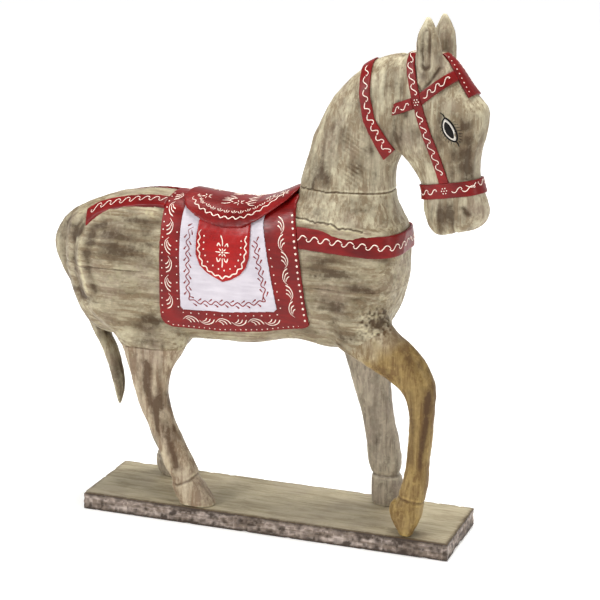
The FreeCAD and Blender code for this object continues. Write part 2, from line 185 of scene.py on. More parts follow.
# %% Join and remesh the blocks
BLOCKS = ["lower_body_board", "upper_body_board", "neck_base_block", "neck_and_head_block", "right_ear",
          "left_ear", "right_hind_leg", "left_hind_leg", "right_fore_leg", "left_fore_leg", "tail"]
# heights in mm of the plank's top and of the level glue planes
PLANK_TOP, HIND_JOINT, FORE_JOINT, BOARD_JOINT, NECK_SEAT, NECK_JOINT = 21, 206, 224, 297, 369, 404


def even_mesh(nodes, square):
    """The outer skin of these CAD nodes as a new mesh of even squares, their side in mm."""
    joined = bmesh.new()
    for name in nodes:
        joined.from_mesh(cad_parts[name].data)
    bmesh.ops.remove_doubles(joined, verts=joined.verts, dist=1e-6)
    mesh = bpy.data.meshes.new("joined")
    joined.to_mesh(mesh)
    joined.free()
    mesh.materials.clear()
    helper = new_object("helper", mesh)
    remesh = helper.modifiers.new("even", "REMESH")
    remesh.mode = "VOXEL"
    remesh.voxel_size = square * MM
    graph = bpy.context.evaluated_depsgraph_get()
    even = bpy.data.meshes.new_from_object(helper.evaluated_get(graph))
    bpy.data.objects.remove(helper)
    return even


skin = even_mesh(BLOCKS, 1.4)
print("squares in the skin:", len(skin.polygons))


# %% Read, soften and write a mesh
def read_points(mesh):
    """Vertex positions in mm."""
    flat = np.empty(len(mesh.vertices) * 3, dtype=np.float32)
    mesh.vertices.foreach_get("co", flat)
    return flat.reshape(-1, 3).astype(np.float64) * 1000


def write_points(mesh, points):
    """Puts points in mm back into a mesh."""
    mesh.vertices.foreach_set("co", (points * MM).astype(np.float32).ravel())
    mesh.update()


def read_normals(mesh):
    """The surface's direction at each vertex."""
    flat = np.empty(len(mesh.vertices) * 3, dtype=np.float32)
    mesh.vertices.foreach_get("normal", flat)
    return flat.reshape(-1, 3).astype(np.float64)


def read_edges(mesh):
    """The pair of vertices at each edge's ends."""
    flat = np.empty(len(mesh.edges) * 2, dtype=np.int32)
    mesh.edges.foreach_get("vertices", flat)
    return flat.reshape(-1, 2)


def soften(points, edges, rounds, share=0.5):
    """Moves each point towards the mean of its neighbours; share may differ from point to point."""
    a, b = edges[:, 0], edges[:, 1]
    count = np.bincount(a, minlength=len(points)) + np.bincount(b, minlength=len(points))
    share = np.broadcast_to(np.asarray(share, dtype=float), (len(points),))[:, None]
    for _ in range(rounds):
        mean = np.empty_like(points)
        for k in range(3):
            total = np.bincount(a, points[b, k], len(points)) + np.bincount(b, points[a, k], len(points))
            mean[:, k] = total / np.maximum(count, 1)
        points = points + (mean - points) * share
    return points


def ease(x, low, high):
    """0 below low, 1 above high, with a smooth rise between."""
    t = np.clip((x - low) / (high - low), 0, 1)
    return t * t * (3 - 2 * t)


points = read_points(skin)
edges = read_edges(skin)
# the head, ears and hooves keep crisper edges than the big round forms
share = 0.5 - 0.32 * ease(points[:, 2], 440, 500) - 0.3 * (1 - ease(points[:, 2], 58, 75))
points = soften(points, edges, 26, share)
write_points(skin, points)
print("softened", len(points), "points")

# %% [markdown]
# ## Carving
# Tool marks and carved features are pushed in or out along the surface's own direction. Each feature is
# a soft groove, ridge or hollow along a line given in millimetres in side view. Real geometry is used
# and not a bump map, because these marks catch the light and show on the outline.

# %% Noise and line tools
chance = np.random.default_rng(7)
LATTICE = chance.random((32, 32, 32))


def mottle(p, size):
    """Smooth random values from -1 to 1, with lumps of that size in mm (one size, or one per axis)."""
    q = p / np.asarray(size, dtype=float)
    cell = np.floor(q).astype(int)
    f = q - cell
    f = f * f * (3 - 2 * f)
    total = np.zeros(len(p))
    for i in (0, 1):
        for j in (0, 1):
            for k in (0, 1):
                weight = np.abs(1 - i - f[:, 0]) * np.abs(1 - j - f[:, 1]) * np.abs(1 - k - f[:, 2])
                total += weight * LATTICE[(cell[:, 0] + i) % 32, (cell[:, 1] + j) % 32, (cell[:, 2] + k) % 32]
    return total * 2 - 1


def far_from(p, q, line):
    """Distance in mm from the points (p, q) of a view to a bent line in it."""
    best = np.full(len(p), 1e9)
    for (x0, y0), (x1, y1) in zip(line, line[1:]):
        dx, dy = x1 - x0, y1 - y0
        t = np.clip(((p - x0) * dx + (q - y0) * dy) / (dx * dx + dy * dy), 0, 1)
        best = np.minimum(best, np.hypot(p - x0 - t * dx, q - y0 - t * dy))
    return best


def bell(distance, width):
    """1 on the line, fading out over about that width."""
    return np.exp(-(distance / width) ** 2)

# %% [markdown]
# ## The head's turn
# The head looks a little to the horse's right. Its features are easier to place before that turn, so one
# function takes points back to the straight head and another takes places on it forward again.

# %% The head's own axes
HEAD_TURN, HEAD_PIVOT = math.radians(13), 150.0


def head_space(p):
    """Points as they would lie if the head looked straight ahead."""
    c, s = math.cos(HEAD_TURN), math.sin(HEAD_TURN)
    dx = p[:, 0] - HEAD_PIVOT
    return np.column_stack((HEAD_PIVOT + dx * c - p[:, 1] * s, p[:, 1] * c + dx * s, p[:, 2]))


def turned(x, y, z):
    """A point of the straight head after its turn to the horse's right."""
    c, s = math.cos(HEAD_TURN), math.sin(HEAD_TURN)
    dx = x - HEAD_PIVOT
    return Vector((HEAD_PIVOT + dx * c + y * s, y * c - dx * s, z))

# %% [markdown]
# ## Body and legs
# The carver raises a rim round the haunch, sinks a groove on each side of the tail and cuts a line round
# each hoof. The glue joints have opened here and there into ragged cracks. Each of these is a line in
# side view that works on the surface within a few millimetres of it.

# %% Carve the body
HAUNCH_RIM = [(-135, 362), (-170, 366), (-200, 358), (-216, 344), (-223, 325), (-223, 295), (-216, 268)]
TAIL_GROOVE = [(-206, 368), (-228, 352), (-238, 330), (-238, 290), (-230, 262)]
HIND_TENDON = [(-140, 168), (-139, 135), (-125, 100), (-108, 66)]
# the line round each hoof's top, in side view, with the side that the leg is on
HOOF_LINES = [
    ([(-118, 47), (-104, 45), (-88, 52), (-76, 62)], -1),
    ([(-174, 47), (-160, 45), (-144, 52), (-132, 62)], 1),
    ([(156, 71), (166, 67), (178, 64), (198, 60)], -1),
    ([(100, 58), (150, 58)], 1),
]
SEAT_CRACK = [(38, 375), (52, 373), (62, 371), (73, 373), (82, 370), (90, 366), (118, 366)]


def past_raised_joint(x, z):
    """How far in mm a point is beyond the raised foreleg's slanting glue plane."""
    return (x - 93) * 0.555 - (z - 222) * 0.832


def carve_body(p):
    """Height in mm to add to each point of the body and legs."""
    x, y, z = p[:, 0], p[:, 1], p[:, 2]
    flank = ease(np.abs(y), 20, 32)
    rim = far_from(x, z, HAUNCH_RIM)
    height = (2.2 * bell(rim, 6) - 0.6 * bell(rim - 12, 5)) * flank
    inside = ease(x, -222, -205) * (1 - ease(x, -140, -122)) * (1 - ease(z, 346, 360)) * ease(z, 268, 300)
    height -= 1.2 * inside * flank
    groove = 2.2 * bell(far_from(x, z, TAIL_GROOVE), 4.5)
    height -= groove * ease(np.abs(y), 8, 16) * (1 - ease(np.abs(y), 40, 50))
    hind = (1 - ease(x, -95, -85)) * (1 - ease(z, 175, 195))
    height -= 1.5 * bell(far_from(x, z, HIND_TENDON), 4) * hind * ease(-y, 40, 44)
    # the glue line of the near hind leg has opened a little
    opened = bell(z - HIND_JOINT - 2 * mottle(p, 12), 0.9) * (x < -60) * (y < 0)
    height -= opened * ease(mottle(p + 70, 15), -0.5, 0.3)
    for line, side in HOOF_LINES:
        height -= 1.5 * bell(far_from(x, z, line), 2.0) * (y * side > 12)
    # lamination line between the body's two boards
    lamination = 0.6 * bell(z - BOARD_JOINT - 0.8 * mottle(p, 25), 0.8)
    lamination *= ease(mottle(p + 90, 40), -0.7, 0.1)
    height -= lamination * (1 - ease(z, 320, 330)) * ease(z, 260, 270)
    # ragged cracks where the neck's blocks meet
    neck = ease(x, 28, 34) * (1 - ease(x, 150, 156))
    ragged = mottle(p * (1, 0.6, 0.2), 7) + 0.5 * mottle(p * (1, 0.6, 0.2), 3)
    height -= 1.7 * bell(z - NECK_JOINT - 2.2 * ragged * (1 - ease(x, 60, 100)), 1.0) * neck
    height -= 2.0 * bell(far_from(x, z + 1.8 * ragged, SEAT_CRACK), 1.1) * ease(np.abs(y), 20, 30)
    # a splintered chip above the lower crack
    chip = 1.3 * bell(far_from(x, z, [(62, 379), (84, 374)]), 5)
    height -= chip * ease(ragged, -0.4, 0.3) * ease(-y, 15, 25)
    return height


def carve_putty(p):
    """Rough filler at the raised leg's joint."""
    spot = np.linalg.norm(p - np.array((134, -44, 262)), axis=1)
    area = 1 - ease(spot, 12, 27)
    return area * (1.3 * mottle(p, 4.5) + 1.0 * mottle(p + 50, 2.4) + 0.4)

# %% [markdown]
# ## The head
# The eye sits on a low bulge with a hollow round it, a groove runs down the face, and the ears are
# scooped out. Sculpting by hand would give the same forms, but a formula can be read and changed later.

# %% Carve the head
FACE_GROOVE = [(244, 492), (241, 470), (237, 448), (234, 430)]
EYE = (219.5, 482.0)
EAR_NOTCH = [(170, 548), (177, 527), (184, 520), (193, 530), (203, 545)]


def carve_head(p):
    """Height in mm to add on the head, worked out in the head's own axes."""
    h = head_space(p)
    x, y, z = h[:, 0], np.abs(h[:, 1]), h[:, 2]
    on_head = ease(x, 160, 172) * ease(z, 352, 358)
    side = ease(y, 9, 15)
    eye = np.hypot(x - EYE[0], (z - EYE[1]) * 0.8)
    height = (1.6 * bell(eye, 8) - 2.2 * bell(eye - 15, 5)) * side * (1 - ease(z, 508, 515))
    height -= 2.6 * bell(far_from(x, z, FACE_GROOVE), 4.5) * side
    height -= 1.8 * bell(far_from(x, z, EAR_NOTCH), 2.2) * side * ease(z, 515, 520)
    height -= 2.4 * bell(far_from(x, z, [(234, 398), (240, 392)]), 3.4) * side
    height -= 1.6 * bell(far_from(x, z, [(221, 360), (222, 384)]), 2.6)
    height += 1.6 * bell(far_from(x, z, [(236, 384), (248, 392)]), 8) * side
    height += 0.9 * bell(far_from(x, z, [(203, 376), (205, 390)]), 8) * side
    # the ears are scooped out on their outer sides
    ear = ease(z, 534, 545)
    height -= 3.4 * (1 - ease(far_from(x, z, [(187, 548), (187.5, 580)]), 4, 9)) * ear * ease(y, 17, 21)
    return height * on_head

# %% [markdown]
# ## Tool marks
# Gouges leave shallow facets, and a rasp leaves parallel lines where it was dragged over the neck. Noise
# of three sizes gives the facets. All the carving is added at once, and then softened a little, as
# sandpaper would.

# %% Tool marks everywhere
def tool_marks(p):
    """Shallow gouge facets, with diagonal rasp lines on the neck's breast."""
    marks = 0.75 * mottle(p, 17) + 0.34 * mottle(p + 30, 6.5) + 0.18 * mottle(p, 3)
    rasped = bell(p[:, 0] - 98, 16) * bell(p[:, 2] - 440, 30) * ease(mottle(p, 20), -0.4, 0.3)
    marks += 0.3 * rasped * np.sin((p[:, 0] * 0.5 + p[:, 2] * 0.86) * 2 * math.pi / 4.2)
    return marks


normals = read_normals(skin)
raised = carve_body(points) + carve_putty(points) + carve_head(points)
standing = ease(points[:, 2], 22, 26)      # the soles stay flat on the plank
points += normals * ((raised + tool_marks(points)) * standing)[:, None]
points = soften(points, edges, 1, 0.3)
points[:, 2] = np.maximum(points[:, 2], PLANK_TOP)
# no ridge stands past the CAD box
points = np.clip(points, np.array(cad_box[0]) / MM, np.array(cad_box[1]) / MM)
write_points(skin, points)
print("deepest cut", round(raised.min(), 2), "mm, highest ridge", round(raised.max(), 2), "mm")

# %% [markdown]
# ## Where the brown wax stays
# After the white wash the maker rubs brown wax over the horse and wipes it off, so it stays in grooves,
# under edges and in some rubbed patches. A value of up to 1 is stored on each point for that, partly
# from the surface's own hollows and partly from listed patches, and the wood material reads it.
# Below 0 it marks bulges and the haunch's rim, which the material paints paler: a painted highlight.

# %% Wax in hollows and patches, painted highlight on bulges
# centre x, distance from the middle, z, radius, strength
WAX_PATCHES = [
    (-170, 48, 335, 36, 0.7), (-210, 44, 330, 16, 0.6), (-155, 50, 280, 44, 0.35), (-190, 50, 250, 30, 0.3),
    (-132, 44, 226, 18, 0.8), (-195, 48, 235, 20, 0.4), (-236, 20, 330, 18, 0.7), (-262, 8, 300, 22, 0.5),
    (52, 30, 420, 20, 0.9), (66, 30, 440, 18, 0.5), (112, 25, 428, 14, 0.8), (118, 26, 450, 9, 0.6),
    (104, 30, 500, 14, 0.35), (76, 50, 316, 26, 0.75), (108, 48, 296, 40, 0.55), (96, 50, 268, 30, 0.55),
    (70, 46, 240, 18, 0.5), (135, 42, 268, 14, 0.9), (112, 40, 392, 16, 0.45), (60, 45, 377, 12, 0.7),
    (150, 22, 470, 14, 0.7), (160, 26, 492, 8, 0.8), (150, 15, 520, 14, 0.4), (84, 22, 470, 16, 0.5),
    (104, 40, 248, 24, 0.8), (152, 44, 256, 14, 0.6), (140, 44, 330, 20, 0.35), (-262, 6, 330, 22, 0.7),
    (-246, 8, 262, 26, 0.7), (-222, 8, 210, 20, 0.6), (-204, 8, 150, 22, 0.8), (-112, 44, 110, 14, 0.7),
    (-128, 44, 140, 12, 0.55), (-150, 44, 185, 14, 0.4),
]
# the same in the straight head's own axes
HEAD_WAX = [
    (238, 22, 488, 9, 1.0), (240, 20, 472, 10, 1.0), (237, 20, 456, 12, 1.1), (233, 20, 440, 13, 1.2),
    (226, 22, 452, 12, 0.9), (222, 26, 482, 19, 0.55), (205, 26, 470, 14, 0.4), (160, 26, 470, 22, 0.6),
    (214, 18, 390, 18, 0.9), (228, 18, 388, 14, 0.9), (238, 18, 394, 8, 1.0), (232, 26, 494, 8, 0.6),
    (187, 22, 565, 16, 0.9), (186, 22, 540, 10, 0.8), (170, 26, 470, 12, 0.4), (245, 6, 470, 12, 0.35),
]
# streaks of wax run down a leg: side view line, width, strength, side
WAX_STREAKS = [
    ([(-141, 190), (-140, 160), (-133, 132), (-117, 99), (-101, 68)], 5, 0.8, -1),
    ([(-128, 180), (-127, 150), (-118, 120)], 4, 0.4, -1),
    ([(172, 232), (191, 213), (197, 185), (194, 139), (192, 108)], 6, 0.6, -1),
    ([(176, 190), (181, 150), (180, 110)], 4, 0.45, -1),
    ([(112, 200), (114, 150), (116, 100)], 5, 0.45, 1),
]


def wax_and_painted_light(p, edges, n):
    """How much brown wax each point keeps, up to 1; below 0, a painted highlight on bulges and the rim."""
    smooth = soften(p, edges, 3)
    hollow = np.einsum("ij,ij->i", smooth - p, n)
    # wax stays in hollows; bulges get a negative amount, a painted highlight in pale cream
    amount = np.clip(hollow * 2.2, 0, 0.8) - 0.5 * np.clip(-hollow * 2.5, 0, 1)
    # the rag drags the wax: patches have torn edges, and streaks follow the grain
    upright = (p[:, 2] > NECK_JOINT) | (p[:, 2] < 215) | (p[:, 0] > 168)
    drag = np.where(upright[:, None], p * (1, 1, 0.22), p * (0.22, 1, 1))
    streaks = 0.6 * mottle(drag, 5) + 0.5 * mottle(drag + 40, 11)
    torn = np.clip(0.8 + 0.8 * streaks, 0.2, 1.4)
    shift = 8 * np.column_stack((mottle(p, 19), np.zeros(len(p)), mottle(p + 400, 19)))
    mirrored = p * (1, 0, 1) + np.abs(p) * (0, 1, 0) + shift
    patches = np.zeros(len(p))
    for x, y, z, radius, strength in WAX_PATCHES:
        away = np.linalg.norm(mirrored - (x, y, z), axis=1)
        patches = np.maximum(patches, strength * bell(away, radius * 1.15))
    h = head_space(p)
    h[:, 1] = np.abs(h[:, 1])
    h += shift * 0.4
    for x, y, z, radius, strength in HEAD_WAX:
        away = np.linalg.norm(h - (x, y, z), axis=1)
        patches = np.maximum(patches, strength * bell(away, radius))
    amount += patches * torn + 0.42 * np.clip(streaks - 0.05, 0, 1)
    for line, width, strength, side in WAX_STREAKS:
        amount += strength * bell(far_from(p[:, 0], p[:, 2], line), width) * torn * (p[:, 1] * side > 20)
    # wax settles in the groove behind the haunch's rim, and the rim itself gets a painted highlight
    rim = far_from(p[:, 0], p[:, 2], HAUNCH_RIM)
    beside = ease(np.abs(p[:, 1]), 18, 30)
    behind_rim = 0.5 * bell(rim - 10, 6) * (p[:, 0] < -190) * torn
    amount += (behind_rim - 0.3 * bell(rim, 6) * (0.7 + streaks)) * beside
    return np.clip(amount, -0.5, 1)


def store(mesh, name, values):
    """Keeps one value for each point, for a material to read by its name."""
    mesh.attributes.new(name, "FLOAT", "POINT").data.foreach_set("value", values.astype(np.float32))


normals = read_normals(skin)
store(skin, "wax_and_painted_light", wax_and_painted_light(points, edges, normals))
ragged_start = past_raised_joint(points[:, 0], points[:, 2]) + 7 * mottle(points, 9)
store(skin, "honey", ease(ragged_start, -2, 34))

# %% [markdown]
# ## Parting the skin into the blocks
# Each square of the skin goes to the block whose glue joints it lies between. Where two blocks meet on a
# curved line, as at the tail and the ears, it goes to the nearer CAD block. That can leave a few squares
# cut off from their own block, and they go to the block around them. Each block is then closed with a
# cap at its joint, so it's a solid piece of its own, and the cap's rim is kept sharp.

# %% Sort the squares
face_centres = np.empty(len(skin.polygons) * 3, dtype=np.float32)
skin.polygons.foreach_get("center", face_centres)
face_centres = face_centres.reshape(-1, 3).astype(np.float64) * 1000


def nearest_block(owner, zone, names):
    """Gives the squares in a zone to the nearest of a few CAD blocks."""
    trees = []
    for name in names:
        block = bmesh.new()
        block.from_mesh(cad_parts[name].data)
        trees.append(BVHTree.FromBMesh(block))
        block.free()
    for k in np.flatnonzero(zone):
        centre = Vector(face_centres[k] * MM)
        owner[k] = BLOCKS.index(min(zip(trees, names), key=lambda t: t[0].find_nearest(centre)[3])[1])


def sort_squares(c):
    """The index in BLOCKS of the block that each square belongs to."""
    x, y, z = c.T
    owner = np.where(z < BOARD_JOINT, BLOCKS.index("lower_body_board"), BLOCKS.index("upper_body_board"))
    owner[(z > NECK_SEAT) & (x > 33) & (x < 168)] = BLOCKS.index("neck_base_block")
    owner[(z > NECK_JOINT) | ((x > 168) & (z > 340))] = BLOCKS.index("neck_and_head_block")
    owner[(z < HIND_JOINT) & (x < -60) & (y < 0)] = BLOCKS.index("right_hind_leg")
    owner[(z < HIND_JOINT) & (x < -60) & (y > 0)] = BLOCKS.index("left_hind_leg")
    owner[(z < FORE_JOINT) & (x > 60) & (y > 8)] = BLOCKS.index("left_fore_leg")
    raised = (past_raised_joint(x, z) > 0) & (y < 0) & (x > 85) & (z < 300)
    owner[raised] = BLOCKS.index("right_fore_leg")
    nearest_block(owner, raised & (x < 160) & (z > 212), ["lower_body_board", "right_fore_leg"])
    beside_tail = ["lower_body_board", "upper_body_board", "tail", "right_hind_leg", "left_hind_leg"]
    nearest_block(owner, (x < -190) & (np.abs(y) < 17) & (z > 105) & (z < 372), beside_tail)
    nearest_block(owner, (x > 160) & (z > 512), ["neck_and_head_block", "right_ear", "left_ear"])
    return owner


owner = sort_squares(face_centres)
print("squares in each block", {name: int((owner == k).sum()) for k, name in enumerate(BLOCKS)})


# %% Give cut-off squares to the block around them
def touching_squares(mesh):
    """The pairs of squares that share an edge."""
    edge = np.empty(len(mesh.loops), dtype=np.int32)
    mesh.loops.foreach_get("edge_index", edge)
    square = np.repeat(np.arange(len(mesh.polygons)), [len(face.vertices) for face in mesh.polygons])
    order = np.argsort(edge, kind="stable")
    shared = edge[order][1:] == edge[order][:-1]
    return np.stack([square[order][:-1][shared], square[order][1:][shared]], axis=1)


def islands(count, pairs):
    """A label for each of count items, the same for all that the pairs join up."""
    label = np.arange(count)
    while True:
        ends = label[pairs]
        lower = ends.min(axis=1)
        joined = label.copy()
        np.minimum.at(joined, ends[:, 0], lower)
        np.minimum.at(joined, ends[:, 1], lower)
        joined = joined[joined]
        if (joined == label).all():
            return label
        label = joined


def join_strays(owner, pairs):
    """Moves every patch of squares that isn't its block's largest over to its neighbour."""
    label = islands(len(owner), pairs[owner[pairs[:, 0]] == owner[pairs[:, 1]]])
    stray = np.zeros(len(owner), dtype=bool)
    for k in range(len(BLOCKS)):
        mine = owner == k
        stray |= mine & (label != np.bincount(label[mine]).argmax())
    print(int(stray.sum()), "stray squares")
    while stray.any():
        for near, far in (pairs.T, pairs.T[::-1]):
            reached = stray[near] & ~stray[far]
            owner[near[reached]] = owner[far[reached]]
            stray[near[reached]] = False


join_strays(owner, touching_squares(skin))


# %% Part and close the blocks
def cap(block):
    """Closes each open rim with a fan of triangles about its middle."""
    for corner in [v for v in block.verts if sum(e.is_boundary for e in v.link_edges) > 2]:
        bmesh.utils.vert_separate(corner, [])
    open_edges = [edge for edge in block.edges if edge.is_boundary]
    waiting = set(open_edges)
    for start in open_edges:
        if start not in waiting:
            continue
        rim = []
        edge = start
        corner = start.verts[0]
        while edge:
            rim.append(edge)
            waiting.remove(edge)
            corner = edge.other_vert(corner)
            edge = next((e for e in corner.link_edges if e in waiting), None)
        total = sum((e.verts[0].co + e.verts[1].co for e in rim), Vector())
        middle = block.verts.new(total / (2 * len(rim)))
        for edge in rim:
            loop = edge.link_loops[0]
            block.faces.new((loop.link_loop_next.vert, loop.vert, middle))
            edge.smooth = False


def part_off(index):
    """One block's squares as a closed object, standing for its CAD node."""
    name = BLOCKS[index]
    block = bmesh.new()
    block.from_mesh(skin)
    block.faces.ensure_lookup_table()
    others = [block.faces[k] for k in np.flatnonzero(owner != index)]
    bmesh.ops.delete(block, geom=others, context="FACES")
    for face in block.faces:
        face.smooth = True
    cap(block)
    mesh = bpy.data.meshes.new("carved_" + name)
    block.to_mesh(mesh)
    block.free()
    piece = new_object("carved_" + name, mesh)
    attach(piece, "root")
    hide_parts(name)
    return piece


carved = {name: part_off(k) for k, name in enumerate(BLOCKS)}

# %% [markdown]
# ## Whitewashed mango wood
# Mango wood is a plain brown hardwood. A thin white wash leaves it cream, with the grain showing through
# in fine brown streaks, more where the brush ran dry. The wax darkens patches and gives a soft sheen.
# The colour is mixed in that order, wood, wash, a painted highlight on ridges, wax, so each can be
# changed alone.

# %% The wood material
def washed_wood(name, bare, wash, wax_and_shade_colour, glow, along, cover=0.62, haze="#8f7f73", honey=None):
    """Wood under a thin wash: its colours, and the axis (0, 1 or 2) that its grain runs along."""
    material, tree, output = new_material(name)
    place = add(tree, "ShaderNodeTexCoord").outputs["Object"]
    # grain lines about 3 mm apart and 60 mm long, drawn coarser than real pores so that they show
    across, lengthwise = 1 / 0.0032, 1 / 0.06
    stretch = [across, across, across]
    stretch[along] = lengthwise
    grain_place = add(tree, "ShaderNodeMapping", {"Scale": stretch}, {"Vector": place})
    grain = add(tree, "ShaderNodeTexNoise", {"Scale": 1.0, "Detail": 3.0, "Roughness": 0.65},
                {"Vector": grain_place.outputs[0]})
    # dry-brush patches of about 11 mm, drawn out to 50 mm along the grain
    stretch = [1 / 0.011, 1 / 0.011, 1 / 0.011]
    stretch[along] = 1 / 0.05
    brush_place = add(tree, "ShaderNodeMapping", {"Scale": stretch}, {"Vector": place})
    brush = add(tree, "ShaderNodeTexNoise",
                {"Scale": 1.0, "Detail": 5.0, "Roughness": 0.62, "Distortion": 0.4},
                {"Vector": brush_place.outputs[0]})
    blotch = add(tree, "ShaderNodeTexNoise", {"Scale": 1 / 0.008, "Detail": 7.0, "Roughness": 0.75},
                 {"Vector": place})
    fine = add(tree, "ShaderNodeTexNoise", {"Scale": 1 / 0.0022, "Detail": 2.0}, {"Vector": place})
    wax_and_light_here = add(tree, "ShaderNodeAttribute", {"attribute_name": "wax_and_painted_light"})
    # the wash thins out with the grain and the brush
    thin = add(tree, "ShaderNodeMath", {"operation": "MULTIPLY_ADD", 1: 0.9},
               {0: grain.outputs[0], 2: brush.outputs[0]})
    covered = add(tree, "ShaderNodeMapRange", {1: 1.15 - cover * 0.5, 2: 1.40 - cover * 0.5, 3: 0.0, 4: 1.0},
                  {0: thin.outputs[0]})
    washed = add(tree, "ShaderNodeMix", {"data_type": "RGBA", 6: linear(bare), 7: linear(wash)},
                 {0: covered.outputs[0]})
    # clouds of greyer, pinker wash some 45 mm across
    cloud = add(tree, "ShaderNodeTexNoise", {"Scale": 1 / 0.045, "Detail": 3.0}, {"Vector": place})
    pinker = add(tree, "ShaderNodeMapRange", {1: 0.48, 2: 0.68, 3: 0.0, 4: 0.4}, {0: cloud.outputs[0]})
    washed = add(tree, "ShaderNodeMix", {"data_type": "RGBA", 7: linear(haze)},
                 {0: pinker.outputs[0], 6: washed.outputs[2]})
    # rubbed spots where the yellowed cream shows
    creamy = add(tree, "ShaderNodeMapRange", {1: 0.52, 2: 0.72, 3: 0.0, 4: 0.75}, {0: blotch.outputs[0]})
    cream = add(tree, "ShaderNodeMix", {"data_type": "RGBA", 7: linear(glow)},
                {0: creamy.outputs[0], 6: washed.outputs[2]})
    # painted highlight: where the stored amount is below 0, ridges and bulges turn to the palest cream
    painted_ridge_highlight = add(tree, "ShaderNodeMapRange", {1: -0.04, 2: -0.4, 3: 0.0, 4: 0.85},
                 {0: wax_and_light_here.outputs["Fac"]})
    ridged = add(tree, "ShaderNodeMix", {"data_type": "RGBA", 7: linear(glow)},
                 {0: painted_ridge_highlight.outputs[0], 6: cream.outputs[2]})
    # wax and painted shadow round the hooves: the stored amount, broken up by the blotches and the grain
    broken = add(tree, "ShaderNodeMath", {"operation": "MULTIPLY_ADD", 1: 1.7, 2: -0.8},
                 {0: blotch.outputs[0]})
    streaked = add(tree, "ShaderNodeMath", {"operation": "MULTIPLY_ADD", 1: 0.9, 2: -0.45},
                   {0: grain.outputs[0]})
    rough_wax = add(tree, "ShaderNodeMath", {"operation": "ADD"},
                    {0: broken.outputs[0], 1: streaked.outputs[0]})
    total = add(tree, "ShaderNodeMath", {"operation": "ADD"},
                {0: wax_and_light_here.outputs["Fac"], 1: rough_wax.outputs[0]})
    waxed = add(tree, "ShaderNodeMapRange", {1: 0.0, 2: 0.9, 3: 0.0, 4: 0.92}, {0: total.outputs[0]})
    colour = add(tree, "ShaderNodeMix", {"data_type": "RGBA", 7: linear(wax_and_shade_colour)},
                 {0: waxed.outputs[0], 6: ridged.outputs[2]})
    if honey:
        # the honey wax is a clear amber glaze, rubbed in where the stored amount says
        rubbed_in = add(tree, "ShaderNodeAttribute", {"attribute_name": "honey"})
        colour = add(tree, "ShaderNodeMix", {"data_type": "RGBA", "blend_type": "MULTIPLY", 7: linear(honey)},
                     {0: rubbed_in.outputs["Fac"], 6: colour.outputs[2]})
    # wood fibre stands 0.1 to 0.2 mm proud of the wash
    height = add(tree, "ShaderNodeMath", {"operation": "MULTIPLY_ADD", 1: 0.35},
                 {0: fine.outputs[0], 2: grain.outputs[0]})
    bump = add(tree, "ShaderNodeBump", {"Strength": 0.55, "Distance": 0.0006}, {"Height": height.outputs[0]})
    gloss = add(tree, "ShaderNodeMapRange", {1: 0.3, 2: 0.7, 3: 0.62, 4: 0.45}, {0: brush.outputs[0]})
    shader = add(tree, "ShaderNodeBsdfPrincipled", {"IOR": 1.45, "Metallic": 0.0, "Specular IOR Level": 0.35},
                 {"Base Color": colour.outputs[2], "Roughness": gloss.outputs[0], "Normal": bump.outputs[0]})
    tree.links.new(shader.outputs[0], output.inputs[0])
    return material


body_wood = washed_wood("whitewashed mango wood, grain lengthwise",
                        "#7b6a51", "#b3a98d", "#3b2812", "#dad1a8", 0)
upright_wood = washed_wood("whitewashed mango wood, grain upright",
                           "#807058", "#bab196", "#3b2812", "#ddd6b6", 2)
leg_wood = washed_wood("pinkish-washed mango wood", "#7f6a53", "#b5a68d", "#422910", "#d8cdac", 2)
honey_wood = washed_wood("honey-waxed mango wood", "#7d6a4e", "#b7ac90", "#4a2f0e", "#dcd3ae", 2,
                         honey="#d6c08c")
# the far side's legs take a darker, greyer copy of the washed wood: painted shade
grey_wood = washed_wood("mango wood in painted shade", "#756a5a", "#a39783", "#4a3e30", "#c4bba2", 2)
finishes = {"right_fore_leg": (honey_wood, "honey_wood"), "left_fore_leg": (grey_wood, "grey_wood"),
            "left_hind_leg": (grey_wood, "grey_wood"), "right_hind_leg": (leg_wood, "whitewashed_wood"),
            "lower_body_board": (body_wood, "whitewashed_wood"),
            "upper_body_board": (body_wood, "whitewashed_wood")}
for name, piece in carved.items():
    material, slot = finishes.get(name, (upright_wood, "whitewashed_wood"))
    piece.data.materials.append(material)
print("wood finishes", [m.name for m in (body_wood, upright_wood, leg_wood, honey_wood, grey_wood)])

# %% [markdown]
# ## The plank
# The plank is a planed board with its long edges left from the saw. Its corners are knocked soft and its
# sides are torn and scratched, so it's remeshed like the horse, and its surface only ever moves inwards,
# which keeps the board's size.

# %% Wear the plank
plank_mesh = even_mesh(["base_plank"], 1.8)
plank_points = read_points(plank_mesh)
plank_edges = read_edges(plank_mesh)
plank_points = soften(plank_points, plank_edges, 3)
plank_normals = read_normals(plank_mesh)
x, y, z = plank_points.T
HALF_LENGTH, HALF_WIDTH = 225, 58
to_side, to_end = HALF_WIDTH - np.abs(y), HALF_LENGTH - np.abs(x)
at_edge = bell(np.minimum(to_side, to_end), 3) * bell(np.minimum(PLANK_TOP - z, z), 3)
dents = np.clip(mottle(plank_points, 9) - 0.25, 0, 1) * 2.2 * at_edge
sides = np.clip(1 - np.abs(plank_normals[:, 2]) * 2, 0, 1)
saw_marks = (0.6 + 0.6 * mottle(plank_points * (1, 1, 2.5), 5) + 0.5 * mottle(plank_points, 2.4)) * sides
top_wear = (0.15 + 0.15 * mottle(plank_points * (0.2, 1, 1), 6)) * (1 - sides) * ease(z, 10, 12)
plank_points -= plank_normals * (dents + np.clip(saw_marks + top_wear, 0, 2))[:, None]
plank_points[:, 0] = np.clip(plank_points[:, 0], -HALF_LENGTH, HALF_LENGTH)
plank_points[:, 1] = np.clip(plank_points[:, 1], -HALF_WIDTH, HALF_WIDTH)
